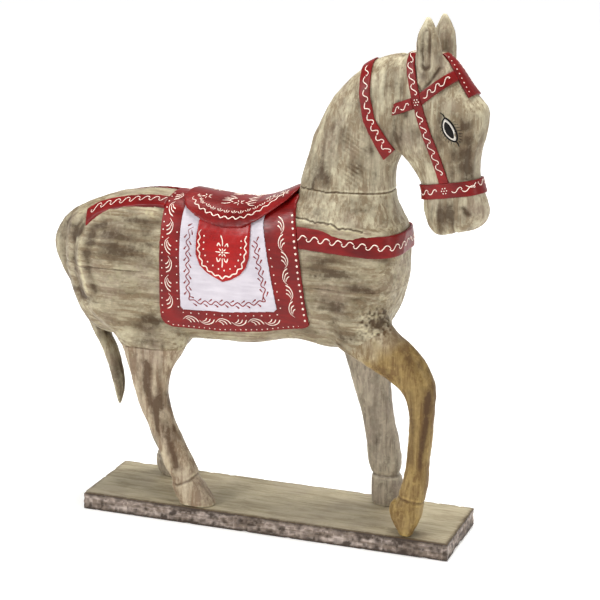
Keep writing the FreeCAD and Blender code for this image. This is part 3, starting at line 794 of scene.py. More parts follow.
plank_points[:, 2] = np.clip(plank_points[:, 2], 0, PLANK_TOP)
write_points(plank_mesh, plank_points)
coarse = 0.15 + 0.9 * np.clip(mottle(plank_points * (0.7, 1, 1), 5) + 0.15, 0, 1)
coarse += 0.5 * mottle(plank_points, 2.6)
edge_wax = np.maximum(at_edge * 1.2, 0) + sides * coarse
HOOVES = ((-85, -41), (-141, 38), (174, -46), (128, 38))
# painted shadow: the plank's top is darkened within about 15 mm of each hoof
painted_shadow_round_hooves = sum(bell(np.hypot(x - hx, y - hy), 15) for hx, hy in HOOVES)
store(plank_mesh, "wax_and_painted_light", np.clip(edge_wax + 0.35 * painted_shadow_round_hooves - 0.1, -0.2, 1))
plank = new_object("worn_plank", plank_mesh)
board_wood = washed_wood("greenish waxed plank wood", "#8d8067", "#b8ad92", "#4a3824", "#c6bb9c", 0,
                         0.72, "#94887a")
sawn_wood = washed_wood("rough sawn plank edge", "#76675b", "#bdaea4", "#2c1f15", "#c4b6ac", 0, 0.5)
plank_mesh.materials.append(board_wood)
plank_mesh.materials.append(sawn_wood)
for face in plank_mesh.polygons:
    face.use_smooth = True
    face.material_index = 1 if abs(face.normal.z) < 0.6 else 0
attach(plank, "root")
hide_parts("base_plank")
print("plank squares", len(plank_mesh.polygons))

# %% [markdown]
# ## Enamel
# The tack is brushed with oil enamel, thick enough to hide the wood's colour but not its lumps. Enamel is
# a clear binder around pigment, so its index is about 1.5 and it's smoother than the waxed wood, which
# gives the pale sheen on the upper surfaces. Brush lines and patches of a deeper shade keep it from
# looking like plastic.

# %% The enamel material
def enamel(name, colour, deep, roughness, along=0, shine=0.28):
    """Brushed enamel: two shades of one colour in streaks about 4 mm apart."""
    material, tree, output = new_material(name)
    place = add(tree, "ShaderNodeTexCoord").outputs["Object"]
    stretch = [1 / 0.004] * 3
    stretch[along] = 1 / 0.03
    brush_place = add(tree, "ShaderNodeMapping", {"Scale": stretch}, {"Vector": place})
    strokes = add(tree, "ShaderNodeTexNoise", {"Scale": 1.0, "Detail": 4.0, "Roughness": 0.6},
                  {"Vector": brush_place.outputs[0]})
    patches = add(tree, "ShaderNodeTexNoise", {"Scale": 1 / 0.03, "Detail": 4.0}, {"Vector": place})
    both = add(tree, "ShaderNodeMath", {"operation": "MULTIPLY_ADD", 1: 0.8},
               {0: strokes.outputs[0], 2: patches.outputs[0]})
    shade = add(tree, "ShaderNodeMapRange", {1: 0.65, 2: 1.15, 3: 0.0, 4: 1.0}, {0: both.outputs[0]})
    mixed = add(tree, "ShaderNodeMix", {"data_type": "RGBA", 6: linear(deep), 7: linear(colour)},
                {0: shade.outputs[0]})
    gloss = add(tree, "ShaderNodeMapRange", {1: 0.35, 2: 0.65, 3: roughness - 0.06, 4: roughness + 0.08},
                {0: patches.outputs[0]})
    bump = add(tree, "ShaderNodeBump", {"Strength": 0.35, "Distance": 0.0005}, {"Height": strokes.outputs[0]})
    shader = add(tree, "ShaderNodeBsdfPrincipled", {"IOR": 1.5, "Metallic": 0.0, "Specular IOR Level": shine},
                 {"Base Color": mixed.outputs[2], "Roughness": gloss.outputs[0], "Normal": bump.outputs[0]})
    tree.links.new(shader.outputs[0], output.inputs[0])
    return material


red_enamel = enamel("dark red enamel", "#800b09", "#570505", 0.36)
bright_red_enamel = enamel("bright red enamel", "#a90d0a", "#820808", 0.32)
white_enamel = enamel("off-white enamel", "#cdc7ce", "#b7b0b9", 0.45)
cone_white = enamel("cone-squeezed white paint", "#f6e9dc", "#e2cfc0", 0.40)
vine_red = enamel("cone-squeezed dark red paint", "#8e1512", "#6a0c0c", 0.40)
black_enamel = enamel("black enamel", "#080606", "#120e0e", 0.42, shine=0.12)
eye_white = enamel("eye white enamel", "#d8d3cb", "#c0b9b0", 0.35)

# %% [markdown]
# ## Relief saddle and straps
# On the real horse the tack is left standing a few millimetres proud when the background is cut away, so
# its edges are rounded by sandpaper and thick paint. Each CAD piece is remeshed finely and softened for
# that. A hard bevel would look like cut sheet.

# %% Round the tack
TACK = {
    "saddle_cloth": (red_enamel, 1.25, 3), "saddle_panel": (white_enamel, 1.0, 2),
    "right_saddle_tongue": (bright_red_enamel, 0.9, 3), "left_saddle_tongue": (bright_red_enamel, 0.9, 3),
    "saddle_seat": (red_enamel, 1.1, 5), "breast_strap": (red_enamel, 0.9, 3),
    "right_crupper_strap": (red_enamel, 0.8, 3), "left_crupper_strap": (red_enamel, 0.8, 3),
    "neck_strap": (red_enamel, 0.8, 3), "cheek_strap": (red_enamel, 0.7, 3), "noseband": (red_enamel, 0.7, 3),
    "browband": (red_enamel, 0.7, 3), "brow_plate": (red_enamel, 0.7, 4),
}


def drop_crumbs(mesh):
    """Removes loose islands of under 100 points, left where a CAD edge runs out very thin."""
    label = islands(len(mesh.vertices), read_edges(mesh))
    small = np.bincount(label, minlength=len(label))[label] < 100
    if small.any():
        trimmed = bmesh.new()
        trimmed.from_mesh(mesh)
        crumbs = [v for v, loose in zip(trimmed.verts, small) if loose]
        bmesh.ops.delete(trimmed, geom=crumbs, context="VERTS")
        trimmed.to_mesh(mesh)
        trimmed.free()


def relief(node, material, square, rounds):
    """A tack piece with paint-rounded edges and faint lumps, standing for its CAD node."""
    mesh = even_mesh([node], square)
    drop_crumbs(mesh)
    p = soften(read_points(mesh), read_edges(mesh), rounds, 0.5)
    write_points(mesh, p)
    p += read_normals(mesh) * (0.18 * mottle(p, 9) + 0.08 * mottle(p, 4))[:, None]
    write_points(mesh, p)
    for face in mesh.polygons:
        face.use_smooth = True
    mesh.materials.append(material)
    piece = new_object("painted_" + node, mesh)
    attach(piece, "root")
    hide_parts(node)
    return piece


tack = {node: relief(node, *how) for node, how in TACK.items()}
print("squares in the tack", {node: len(piece.data.polygons) for node, piece in tack.items()})

# %% [markdown]
# ## Squeezed paint
# The scrolls, leaves and dots are thick paint pressed through a paper cone, so each is a low bead with a
# round head and a drawn-out tail. They're made as geometry lying on the tack. To place them, a grid of
# rays is cast onto each surface, and the grid is then read like squared paper: one number says which
# row, the other is the length in mm along the surface from its middle.

# %% Cast squared paper onto a surface
def tree_of(*pieces):
    """The pieces' surfaces together, as one tree that rays can be cast at."""
    joined = bmesh.new()
    for piece in pieces:
        joined.from_mesh(piece.data)
    tree = BVHTree.FromBMesh(joined)
    joined.free()
    return tree


def lay_out(tree, rows, columns, ray, measured=True):
    """A grid of surface points and normals; each row is measured along the surface from column 0."""
    grid = np.full((len(rows), len(columns), 6), np.nan)
    for i, row in enumerate(rows):
        for j, column in enumerate(columns):
            start, way = ray(row, column)
            hit, normal, _, _ = tree.ray_cast(start * MM, way)
            if hit is not None:
                grid[i, j] = (*(hit * 1000), *normal)
    lengths = np.tile(np.array(columns, dtype=float), (len(rows), 1))
    for i in range(len(rows)):
        good = np.flatnonzero(~np.isnan(grid[i, :, 0]))
        if not len(good):
            continue
        for k in range(6):
            grid[i, :, k] = np.interp(np.arange(len(columns)), good, grid[i, good, k])
        if measured:
            steps = np.linalg.norm(np.diff(grid[i, :, :3], axis=0), axis=1)
            along = np.concatenate(([0], np.cumsum(steps)))
            lengths[i] = along - np.interp(0, columns, along)
    return {"rows": np.array(rows, dtype=float), "lengths": lengths, "grid": grid}


def place_on(sheet, row, length):
    """The surface point in mm and its normal at a place on the squared paper."""
    i = float(np.interp(row, sheet["rows"], np.arange(len(sheet["rows"]))))
    low = min(int(i), len(sheet["rows"]) - 2)
    values = np.zeros(6)
    for k, weight in ((low, 1 - (i - low)), (low + 1, i - low)):
        lengths, cells = sheet["lengths"][k], sheet["grid"][k]
        values += weight * np.array([np.interp(length, lengths, cells[:, c]) for c in range(6)])
    return values[:3], values[3:] / max(np.linalg.norm(values[3:]), 1e-9)


def down_to(sheet, row, z, side):
    """The length along a row at which the surface is at height z, on the right (-1) or left (1) side."""
    i = int(round(float(np.interp(row, sheet["rows"], np.arange(len(sheet["rows"]))))))
    lengths, heights = sheet["lengths"][i], sheet["grid"][i, :, 2]
    keep = lengths * side >= 0
    order = np.argsort(heights[keep])
    return float(np.interp(z, heights[keep][order], lengths[keep][order]))


# %% Beads and dots of paint
def rounded_line(controls, steps=5):
    """A smooth curve through a few points (Catmull-Rom)."""
    p = np.array(controls, dtype=float)
    if len(p) == 2:
        return np.array([p[0] + (p[1] - p[0]) * t for t in np.linspace(0, 1, 5)])
    ends = np.vstack((2 * p[0] - p[1], p, 2 * p[-1] - p[-2]))
    curve = []
    for a, b, c, d in zip(ends, ends[1:], ends[2:], ends[3:]):
        for t in np.arange(steps) / steps:
            place = 2 * b + (c - a) * t + (2 * a - 5 * b + 4 * c - d) * t**2 + (3 * b - a - 3 * c + d) * t**3
            curve.append(0.5 * place)
    curve.append(p[-1])
    return np.array(curve)


def bead(paint, places, radii):
    """Adds a bead of paint along surface places; paint is a (vertices, faces) pair of lists."""
    points = np.array([p for p, n in places])
    normal = np.array([n for p, n in places])
    along = np.gradient(points, axis=0)
    along /= np.maximum(np.linalg.norm(along, axis=1), 1e-9)[:, None]
    across = np.cross(normal, along)
    vertices, faces = paint
    first = len(vertices)
    sides = 6
    for p, n, a, r in zip(points, normal, across, radii):
        for k in range(sides):
            turn = 2 * math.pi * k / sides
            vertices.append(p + a * r * math.cos(turn) + n * r * (0.75 * math.sin(turn) + 0.15))
    for i in range(len(points) - 1):
        for k in range(sides):
            a, b = first + i * sides + k, first + i * sides + (k + 1) % sides
            faces.append((a, b, b + sides, a + sides))
    faces.append(tuple(first + k for k in reversed(range(sides))))
    faces.append(tuple(first + (len(points) - 1) * sides + k for k in range(sides)))


def dot(paint, place, radius):
    """Adds one round dot with a domed top."""
    p, n = place
    side = np.cross(n, (0.3, 0.2, 0.9))
    side /= np.linalg.norm(side)
    other = np.cross(n, side)
    vertices, faces = paint
    first = len(vertices)
    for out, up in ((1.0, -0.2), (0.95, 0.2), (0.55, 0.5)):
        for k in range(8):
            turn = math.pi * k / 4
            vertices.append(p + radius * (out * (side * math.cos(turn) + other * math.sin(turn)) + n * up))
    for ring in (0, 1):
        for k in range(8):
            a, b = first + ring * 8 + k, first + ring * 8 + (k + 1) % 8
            faces.append((a, b, b + 8, a + 8))
    faces.append(tuple(first + k for k in reversed(range(8))))
    faces.append(tuple(first + 16 + k for k in range(8)))


def drawn_out(count, radius, tail=0.45):
    """Bead radii: a round head, then a tail that thins."""
    t = np.linspace(0, 1, count)
    head = np.sqrt(np.clip(t * 8 + 0.15, 0, 1))
    return radius * np.minimum(1 - (1 - tail) * t, head) * np.where(t == 1, 0.5, 1)


def paint_piece(name, paint, material):
    """Makes one object of all the beads and dots in paint."""
    mesh = bpy.data.meshes.new(name)
    mesh.from_pydata([tuple(v * MM) for v in paint[0]], [], paint[1])
    for face in mesh.polygons:
        face.use_smooth = len(face.vertices) < 5
    mesh.materials.append(material)
    piece = new_object(name, mesh)
    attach(piece, "root")
    print(name, len(mesh.polygons), "faces")


# %% Strokes on a sheet
def stroke(paint, sheet, controls, radius, tail=0.45):
    """One stroke through (row, length) places."""
    line = rounded_line(controls)
    bead(paint, [place_on(sheet, r, s) for r, s in line], drawn_out(len(line), radius, tail))


def walk(path, pitch, start=0.5):
    """Evenly spaced (position, direction) pairs along a bent line, pitch apart."""
    p = np.array(path, dtype=float)
    steps = np.linalg.norm(np.diff(p, axis=0), axis=1)
    reach = np.concatenate(([0], np.cumsum(steps)))
    count = max(int(round(reach[-1] / pitch)), 1)
    for k in range(count):
        t = (k + start) * reach[-1] / count
        here = np.array([np.interp(t, reach, p[:, c]) for c in (0, 1)])
        ahead = np.array([np.interp(min(t + 1, reach[-1]), reach, p[:, c]) for c in (0, 1)])
        behind = np.array([np.interp(max(t - 1, 0), reach, p[:, c]) for c in (0, 1)])
        way = (ahead - behind) / np.linalg.norm(ahead - behind)
        yield k, here, way


def sprig(paint, sheet, here, way, shapes, radius, flip=1, tail=0.4):
    """Strokes given as (along, across) points in mm, turned to lie along way; a longer way enlarges them."""
    across = np.array((-way[1], way[0])) * flip
    for shape in shapes:
        stroke(paint, sheet, [here + way * u + across * v for u, v in shape], radius, tail)


def dots_along(paint, sheet, path, pitch, radius):
    """Dots of slightly uneven size, pitch apart along a path."""
    for _, here, _ in walk(path, pitch):
        dot(paint, place_on(sheet, *here), radius * (0.9 + 0.2 * chance.random()))

# %% [markdown]
# ## Squared paper on the saddle
# The rays come in from all round the horse's middle line, so one row runs down both flanks over the
# back. Near the cloth's corners the lengths jump from row to row, and a sheet cast straight from the
# side does better there.

# %% The sheets on the saddle
def round_back(x, angle):
    """A ray towards the horse's middle line, in the plane across it at x; angle 0 is the top."""
    a = math.radians(angle)
    way = Vector((0, math.sin(a), math.cos(a)))
    return Vector((x, 0, 300)) + way * 150, -way


around = list(range(-150, 151, 3))
trunk = [carved[name] for name in BLOCKS[:4]]
cloth, panel, seat = (tack["saddle_" + name] for name in ("cloth", "panel", "seat"))
tongues = [tack["right_saddle_tongue"], tack["left_saddle_tongue"]]
cloth_sheet = lay_out(tree_of(cloth, *trunk), range(-121, 60, 4), around, round_back)
panel_sheet = lay_out(tree_of(panel, cloth, *trunk), range(-100, 25, 4), around, round_back)
tongue_sheet = lay_out(tree_of(panel, cloth, *tongues), range(-80, -5, 3), around, round_back)
seat_sheet = lay_out(tree_of(seat, panel, cloth, *trunk), range(-108, 41, 4), around, round_back)
print("saddle cloth hangs", round(down_to(cloth_sheet, -80, 240, 1)), "mm down each side")

# %% [markdown]
# ## Leaf sprays
# The cloth's border carries sprays of three curved strokes, turned one way and then the other, between
# rows of dots. They're placed by walking along a line in even steps, so that the spacing stays the same
# round a bend, as a painter's hand would keep it.

# %% Leaf sprays and dots on the cloth's border
SPRAY = [
    [(9.5, -2.6), (6.5, 1.6), (1, 4.0), (-4.5, 3.6), (-9.5, -0.4)],
    [(4.6, -3.0), (2.6, 0.2), (-1, 1.9), (-5, 2.2)],
    [(0.2, -3.6), (-1.2, -1.2), (-3.4, 0.3), (-6, 1.2)],
]


def side_path(sheet, places, side):
    """(x, z) places in side view as (row, length) places on a sheet over the back."""
    return [(x, down_to(sheet, x, z, side)) for x, z in places]


def beside_body(side):
    """Rays straight across the body from one side; rows by height, columns by x."""
    return lambda z, x: (Vector((x, side * 120, z)), Vector((0, -side, 0)))


cloth_tree = tree_of(cloth, *trunk)
cloth_sides = {side: lay_out(cloth_tree, range(228, 392, 4), range(-122, 63, 3), beside_body(side), False)
               for side in (-1, 1)}


def on_side(*places):
    """(x, z) places in side view as (row, column) on a sheet cast from the side."""
    return [(z, x) for x, z in places]


white = ([], [])
for side, sheet in cloth_sides.items():
    rear = [(-110, side * 8)] + side_path(cloth_sheet, [(-110, 360), (-110, 300), (-110, 256)], side)
    for k, here, way in walk(rear, 22):
        sprig(white, cloth_sheet, here, way, SPRAY, 0.75, side * (1 if k % 2 else -1), 0.3)
    foot = on_side((-95, 246.5), (-50, 247), (0, 252), (24, 254.5))
    fore = on_side((41, 262), (37, 282), (33, 305), (29.5, 330), (25, 355), (22, 374))
    for path in (foot, fore):
        for k, here, way in walk(path, 20):
            sprig(white, sheet, here, way, SPRAY, 0.75, 1 if k % 2 else -1, 0.3)
    rear_edge = [(-117, side * 10)] + side_path(cloth_sheet, [(-117, 350), (-119, 246)], side)
    dots_along(white, cloth_sheet, rear_edge, 8.5, 0.85)
    foot_edge = on_side((-116, 243), (-108, 237.5), (-50, 237.5), (0, 242.5), (48, 252))
    dots_along(white, sheet, foot_edge, 6.5, 0.8)
    fore_edge = on_side((54, 256), (51, 280), (46.5, 310), (43, 338), (39, 362), (35.5, 380))
    dots_along(white, sheet, fore_edge, 6.8, 1.3)
    inner = on_side((-100, 352), (-99.5, 262), (-96, 254.5), (-40, 256), (20, 262), (25, 270), (21, 292),
                    (11, 342))
    dots_along(white, sheet, inner, 9.5, 0.8)
paint_piece("cloth_leaf_sprays", white, cone_white)

# %% [markdown]
# ## The vine
# A thin dark red stem zigzags round the panel, with a leaf in each bend. The stem is one bead through
# points set to each side of the line by turns, and the same turns place the leaves, so they always fit.

# %% The vine on the white panel
VINE = [(-81, 358), (-86, 345), (-86, 275), (-80, 269), (-40, 271), (3, 276), (8, 281), (4, 300), (-1, 325),
        (-6, 350)]


def vine_leaf(here, way, out, reach):
    """A leaf that starts out beside the stem and leans back along it."""
    return [here + out * reach + way * 2.2, here + out * (reach - 1.7) - way * 0.2,
            here + out * (reach - 3.2) - way * 2.4]


red = ([], [])
for side in (-1, 1):
    wave = []
    for k, here, way in walk(side_path(panel_sheet, VINE, side), 6.6):
        across = np.array((-way[1], way[0])) * side
        wave.append(here + across * (2.1 if k % 2 else -2.1))
        if k % 2 == 0:
            stroke(red, panel_sheet, vine_leaf(here, way, across, 4.6), 1.0, 0.3)
        else:
            stroke(red, panel_sheet, vine_leaf(here, way, -across, 4.4), 0.9, 0.3)
    stroke(red, panel_sheet, wave, 0.62, 1.0)
paint_piece("panel_vine", red, vine_red)

# %% [markdown]
# ## Lace and lily
# The tongue is edged with a wavy line and a row of dots, and a lily and a star fill its middle. Each is a
# list of strokes in millimetres from the flower's centre.

# %% The tongue's scalloped edge and flower
PETALS = [[(2.2 * math.cos(a), 2.2 * math.sin(a)), (r * math.cos(a), r * math.sin(a))]
          for a, r in zip([math.radians(45 * k + 0.01) for k in range(8)], (8.5, 6, 4.5, 6, 8.5, 6, 4.5, 6))]
LILY = [[(0, 17), (0.3, 12), (0, 6.5)], [(-6.8, 6.5), (-5.4, 10.5), (-3.4, 9.5), (-2.2, 6.5)],
        [(6.8, 6.5), (5.4, 10.5), (3.4, 9.5), (2.2, 6.5)], [(-3, -19), (-0.6, -13), (0, -7)],
        [(-6.6, -6.5), (-5.2, -10), (-2.4, -6.8)], [(6.6, -6.5), (5.2, -10), (2.4, -6.8)]]
TONGUE_RIM = [(-71, 355), (-72, 330), (-67, 315), (-56, 306), (-43, 301.5), (-30, 305.5), (-20, 315),
              (-15.5, 330), (-16, 352)]
TONGUE_DOTS = [(-66, 350), (-66, 330), (-60, 317), (-43, 309), (-28, 314), (-21, 328), (-21, 348)]
white = ([], [])
for side in (-1, 1):
    lace = []
    for k, here, way in walk(side_path(tongue_sheet, TONGUE_RIM, side), 4.4):
        across = np.array((-way[1], way[0])) * side
        lace.append(here + across * (1.3 if k % 2 else -0.9))
    stroke(white, tongue_sheet, lace, 0.75, 1.0)
    dots_along(white, tongue_sheet, side_path(tongue_sheet, TONGUE_DOTS, side), 7.5, 0.95)
    centre = np.array((-43, down_to(tongue_sheet, -43, 330, side)))
    dot(white, place_on(tongue_sheet, *centre), 1.3)
    for shape in PETALS + LILY:
        stroke(white, tongue_sheet, [centre + (u, -v) for u, v in shape], 0.85, 0.6)
paint_piece("tongue_flowers", white, cone_white)

# %% [markdown]
# ## The seat
# The seat's hem has a scalloped line with tufts above it, and flowers and fronds lie across the top. The
# fronds are the same strokes used four times, turned and enlarged a little.

# %% The seat's scallops and flowers
BLOOM = [[(0, 1.6), (0, 5)], [(1.5, 0.6), (4.6, 2.2)], [(1, -1.2), (3, -4.4)], [(-1, -1.2), (-3, -4.4)],
         [(-1.5, 0.6), (-4.6, 2.2)]]
FROND = [[(6, 0), (11, 2), (17, 1)], [(8, -1.5), (12, -4), (16, -4.5)], [(9, 3), (13, 6), (17, 6.5)]]
TUFT = [[(0, 4.4), (0, 0)], [(3.4, 3.2), (0.9, 0)], [(-3.4, 3.2), (-0.9, 0)]]
white = ([], [])
for side in (-1, 1):
    edge = [(-92, 385), (-80, 377), (-64, 371), (-46, 368), (-26, 368.5), (-8, 376), (8, 387), (22, 397)]
    hem = side_path(seat_sheet, edge, side)
    scallops = []
    for k, here, way in walk(hem, 4.6):
        across = np.array((-way[1], way[0])) * side
        scallops.append(here + across * (1.9 if k % 2 else -1.1))
        if k % 2 == 0:
            sprig(white, seat_sheet, here - across * 5.5, way, TUFT, 0.62, -side)
    stroke(white, seat_sheet, scallops, 0.6, 1.0)
    for x, s in ((-76, 17), (-35, 22), (2, 18), (20, 24)):
        sprig(white, seat_sheet, np.array((x, side * s)), np.array((1.3, 0.0)), BLOOM, 0.8, side)
    for way in (-1.25, 1.25):
        sprig(white, seat_sheet, np.array((-35, side * 22)), np.array((way, 0.0)), FROND, 0.75, side)
        sprig(white, seat_sheet, np.array((-35, side * 10)), np.array((way * 0.9, 0.0)), FROND, 0.7, -side)
paint_piece("seat_flowers", white, cone_white)

# %% [markdown]
# ## Scrolls on the straps
# The straps carry a running scroll: one flick of the cone after another, each starting with a round head
# beside the last one's tail. The scroll is drawn once as a short list of points in units of its own
# pitch and height, and then walked along each strap.

# %% The scroll and the flower
SCROLL = [(0, 0.15), (0.1, 0.45), (0.25, 0.6), (0.42, 0.45), (0.6, -0.1), (0.75, -0.5), (0.9, -0.6),
          (1.0, -0.4), (1.02, -0.15), (0.93, -0.05)]


def scroll_along(paint, sheet, path, pitch, height, radius=0.62, flip=1):
    """Running scrolls on a sheet, one for each pitch of the path."""
    shape = [[((u - 0.5) * pitch, v * height) for u, v in SCROLL]]
    for _, here, way in walk(path, pitch):
        sprig(paint, sheet, here, way, shape, radius, flip, 0.75)


def ring_of_dots(paint, sheet, centre, reach=3.0, radius=0.85):
    """A flower of seven dots."""
    dot(paint, place_on(sheet, *centre), radius)
    for k in range(6):
        turn = k * math.pi / 3 + 0.3
        row, length = centre[0] + reach * math.cos(turn), centre[1] + reach * math.sin(turn)
        dot(paint, place_on(sheet, row, length), radius)

# %% [markdown]
# ## Straps round the body
# The breast strap runs level round the chest, so its rays come in level towards an upright axis. The neck
# strap leans, so its rays turn about a leaning line through the neck. Each surface is met nearly square,
# which keeps the scrolls from stretching.

# %% The breast strap
def round_chest(z, angle):
    """A level ray towards an upright axis in the chest; angle 0 is straight ahead."""
    a = math.radians(angle)
    way = Vector((math.cos(a), math.sin(a), 0))
    return Vector((90, 0, z)) + way * 200, -way


white = ([], [])
breast = tree_of(tack["breast_strap"], *trunk)
breast_sheet = lay_out(breast, range(334, 369, 3), range(-150, 151, 2), round_chest)
lengths = np.arange(1, 150, 4)
middles = np.interp(lengths, [0, 45, 95, 150], [349.2, 348, 351, 354])
for side in (-1, 1):
    scroll_along(white, breast_sheet, np.column_stack((middles, side * lengths)), 13.5, 5.0, 0.62, -side)
print("faces of paint on the breast strap", len(white[1]))

# %% The neck strap
CREST, THROAT = Vector((109, 0, 552)), Vector((139, 0, 446))
DOWN_NECK = (THROAT - CREST).normalized()
ACROSS_STRAP = Vector((-DOWN_NECK.z, 0, DOWN_NECK.x))


def round_neck(offset, angle):
    """A ray towards the middle of the neck, in a plane parallel to the strap; angle 0 is the crest."""
    a = math.radians(angle)
    way = -DOWN_NECK * math.cos(a) + Vector((0, math.sin(a), 0))
    return (CREST + THROAT) / 2 + ACROSS_STRAP * offset + way * 130, -way


neck_sheet = lay_out(tree_of(tack["neck_strap"], *trunk), range(-26, 13, 3), range(-174, 175, 3), round_neck)
reach = (CREST - THROAT).length


def strap_bow(length):
    """How far back the strap's middle lies at this length from the crest."""
    offset = 0.0
    for _ in range(3):
        place, _ = place_on(neck_sheet, offset, length)
        t = (Vector(place) - CREST).dot(DOWN_NECK)
        offset = -11.5 * math.sin(math.pi * min(max(t / reach, 0), 1)) + 2.0
    return offset


for side in (-1, 1):
    path = [(strap_bow(side * length), side * length) for length in range(8, 113, 3)]
    scroll_along(white, neck_sheet, path, 12.5, 4.8, 0.58, side)
print("neck strap runs", round(reach), "mm from crest to throat")

# %% [markdown]
# ## The bridle
# The bridle's straps lie on the flat sides of the head, and the brow plate and the nose face forwards. Each
# has its own sheet, cast in the straight head's axes and turned with it.

# %% The bridle
head_pieces = [carved["neck_and_head_block"], carved["right_ear"], carved["left_ear"]]
bridle = [tack[name] for name in ("cheek_strap", "noseband", "browband", "brow_plate")]
bridle_tree = tree_of(*bridle, *head_pieces)


def beside_head(side):
    """Rays straight across the head from one side, rows by height and columns by x, before its turn."""
    def ray(z, x):
        start = turned(x, side * 90, z)
        return start, (turned(x, 0, z) - start).normalized()
    return lay_out(bridle_tree, range(396, 580, 3), range(136, 272, 3), ray, False)


# the middle line of each strap in side view, with the height of its scrolls
BRIDLE_SCROLLS = [
    (((166, 572), (168.5, 545), (178, 516)), 4.6), (((183, 499), (197, 465), (208.5, 432)), 4.6),
    (((147, 494.5), (172, 504.5)), 4.2), (((188, 514.5), (214, 535)), 4.2),
    (((181, 408.5), (203, 413)), 4.2), (((221, 416.5), (244, 421)), 4.2),
]
head_sheets = {side: beside_head(side) for side in (-1, 1)}
for side, sheet in head_sheets.items():
    for places, height in BRIDLE_SCROLLS:
        scroll_along(white, sheet, on_side(*places), 11.5, height, 0.52, -side)
    ring_of_dots(white, sheet, (508, 180), 3.1, 0.75)
    ring_of_dots(white, sheet, (415, 212.5), 3.1, 0.75)


BROW_TOP = (199, 559)            # top of the brow plate in side view
AHEAD, FALL = 0.664, 0.749       # how far the forehead runs ahead and falls for each mm of its slope


def on_forehead(down, across):
    """A ray square to the forehead's slope, from 40 mm off it."""
    x, z = BROW_TOP[0] + AHEAD * down, BROW_TOP[1] - FALL * down
    start = turned(x + FALL * 40, across, z + AHEAD * 40)
    return start, (turned(x, across, z) - start).normalized()


brow_sheet = lay_out(bridle_tree, range(0, 60, 3), range(-16, 17, 2), on_forehead, False)
for side in (-1, 1):
    dots_along(white, brow_sheet, [(4, side * 4.4), (22, side * 6.6), (53, side * 9.8)], 5.6, 0.8)


def before_nose(z, y):
    """A ray straight back at the nose, before the head's turn."""
    start = turned(330, y, z)
    return start, (turned(250, y, z) - start).normalized()


nose_sheet = lay_out(bridle_tree, range(396, 447, 3), range(-24, 25, 2), before_nose, False)
scroll_along(white, nose_sheet, [(424, -18), (425, 0), (424, 18)], 11.5, 4.2, 0.52)
print("faces of paint on the straps so far", len(white[1]))

# %% The crupper straps
def above_rump(x, y):
    """A ray straight down at the rump."""
    return Vector((x, y, 470)), Vector((0, 0, -1))


crupper = [tack["right_crupper_strap"], tack["left_crupper_strap"]]
rump_sheet = lay_out(tree_of(*crupper, *trunk), range(-224, -110, 3), range(-50, 51, 2), above_rump, False)
for side in (-1, 1):
    path = [(x, side * y) for x, y in ((-118, 28), (-150, 29.5), (-178, 31.5), (-205, 31.5), (-214, 33))]
    scroll_along(white, rump_sheet, path, 12.5, 4.0, 0.5, side)
paint_piece("strap_scrolls", white, cone_white)

# %% [markdown]
# ## The painted eyes
# Each eye is brush-painted, not carved: a white almond with a black outline drawn out into a tail at
# both ends, a black pupil and fine lashes. Enamel has thickness, so the almonds are very low domes, and
# they follow the bulge carved under them.

# %% Almonds, outline and lashes
EYE_LONG, EYE_WIDE = 13.5, 6.6


def almond(long, wide, turns=28):
    """A pointed oval round (0, 0) as (along, across) places."""
    turn = np.linspace(0, 2 * math.pi, turns, endpoint=False)
    return np.column_stack((long * np.cos(turn), wide * np.sin(turn) * np.abs(np.sin(turn)) ** 0.35))


def eye_place(along, across):
    """A place on the head's sheet from the eye's own axes, which lean forwards and down."""
    x = EYE[0] + 0.447 * along + 0.894 * across
    z = EYE[1] - 0.894 * along + 0.447 * across
    return z, x


def low_dome(paint, sheet, outline, height):
    """A closed patch of paint over an outline in the eye's axes, thickest in the middle."""
    vertices, faces = paint
    first, count = len(vertices), len(outline)
    for share, up in ((1.0, -0.4), (1.0, height * 0.5), (0.66, height * 0.85), (0.33, height)):
        for along, across in outline * share:
            p, n = place_on(sheet, *eye_place(along, across))
            vertices.append(p + n * up)
    for ring in range(3):
        for k in range(count):
            a, b = first + ring * count + k, first + ring * count + (k + 1) % count
            faces.append((a, b, b + count, a + count))
    faces.append(tuple(first + k for k in reversed(range(count))))
    faces.append(tuple(first + 3 * count + k for k in range(count)))


white, black = ([], []), ([], [])
for side, sheet in head_sheets.items():
    rim = almond(EYE_LONG, EYE_WIDE)
    low_dome(white, sheet, rim, 0.35)
    low_dome(black, sheet, almond(9.6, 3.9), 0.75)
    edge = [eye_place(*q) for q in np.vstack((rim, rim[:1]))]
    bead(black, [place_on(sheet, *q) for q in edge], [1.05] * len(edge))
    for tail in ([(-12.5, 0), (-17, -0.6), (-21, -3)], [(12.5, 0), (17, 0.4), (20, 0.2)]):
        stroke(black, sheet, [eye_place(*q) for q in tail], 0.9, 0.4)
    for k in range(5, 24):
        if k not in (13, 14, 15):
            out = rim[(k + 14) % 28] * (1.12, 1.2)
            tip = rim[(k + 14) % 28] * (1.22, 1.75) + (1.6, 0)
            stroke(black, sheet, [eye_place(*out), eye_place(*tip)], 0.36, 0.6)
paint_piece("eye_whites", white, eye_white)
paint_piece("eye_lines", black, black_enamel)

# %% [markdown]
# ## Hidden fixings
# Dowels and screws sit inside the wood, but an opened-up view shows them, so they get real finishes:
# planed beech with short brown flecks, and zinc-plated steel, which is a bright metal slightly clouded
# by handling.

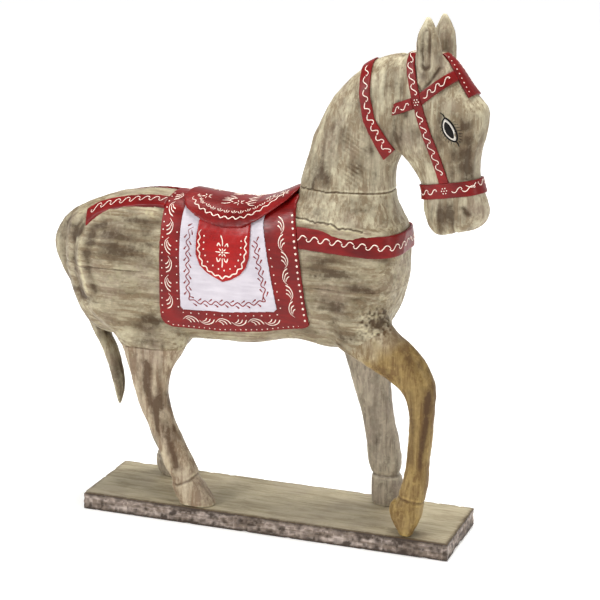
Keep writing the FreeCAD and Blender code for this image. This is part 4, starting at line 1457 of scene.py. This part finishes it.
# %% Dowel and screw materials
def beech():
    """Planed beech with short brown flecks."""
    material, tree, output = new_material("planed beech dowel")
    place = add(tree, "ShaderNodeTexCoord").outputs["Object"]
    # rays about 1 mm apart and 6 mm long
    stretch = add(tree, "ShaderNodeMapping", {"Scale": (1000, 1000, 160)}, {"Vector": place})
    flecks = add(tree, "ShaderNodeTexNoise", {"Scale": 1.0, "Detail": 3.0}, {"Vector": stretch.outputs[0]})
    shade = add(tree, "ShaderNodeMapRange", {1: 0.4, 2: 0.62, 3: 0.0, 4: 1.0}, {0: flecks.outputs[0]})
    colour = add(tree, "ShaderNodeMix", {"data_type": "RGBA", 6: linear("#c9a271"), 7: linear("#a97f50")},
                 {0: shade.outputs[0]})
    bump = add(tree, "ShaderNodeBump", {"Strength": 0.2, "Distance": 0.0002}, {"Height": flecks.outputs[0]})
    shader = add(tree, "ShaderNodeBsdfPrincipled", {"IOR": 1.45, "Metallic": 0.0, "Roughness": 0.6},
                 {"Base Color": colour.outputs[2], "Normal": bump.outputs[0]})
    tree.links.new(shader.outputs[0], output.inputs[0])
    return material


def zinc_steel():
    """Bright zinc plating, a little clouded."""
    material, tree, output = new_material("zinc-plated steel")
    place = add(tree, "ShaderNodeTexCoord").outputs["Object"]
    cloud = add(tree, "ShaderNodeTexNoise", {"Scale": 1 / 0.004, "Detail": 3.0}, {"Vector": place})
    colour = add(tree, "ShaderNodeMix", {"data_type": "RGBA", 6: linear("#c3c5c8"), 7: linear("#a2a49f")},
                 {0: cloud.outputs[0]})
    gloss = add(tree, "ShaderNodeMapRange", {1: 0.3, 2: 0.7, 3: 0.28, 4: 0.45}, {0: cloud.outputs[0]})
    shader = add(tree, "ShaderNodeBsdfPrincipled", {"Metallic": 1.0},
                 {"Base Color": colour.outputs[2], "Roughness": gloss.outputs[0]})
    tree.links.new(shader.outputs[0], output.inputs[0])
    return material


beech_wood, steel = beech(), zinc_steel()
for name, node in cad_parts.items():
    if "dowel" in name or "screw" in name:
        node.data.materials.clear()
        node.data.materials.append(steel if "screw" in name else beech_wood)

# %% [markdown]
# ## The CAD box
# The looks must not change the size that the CAD model fixed; the CAD box is printed again here.

# %% Print the CAD box
print("CAD box", cad_box)
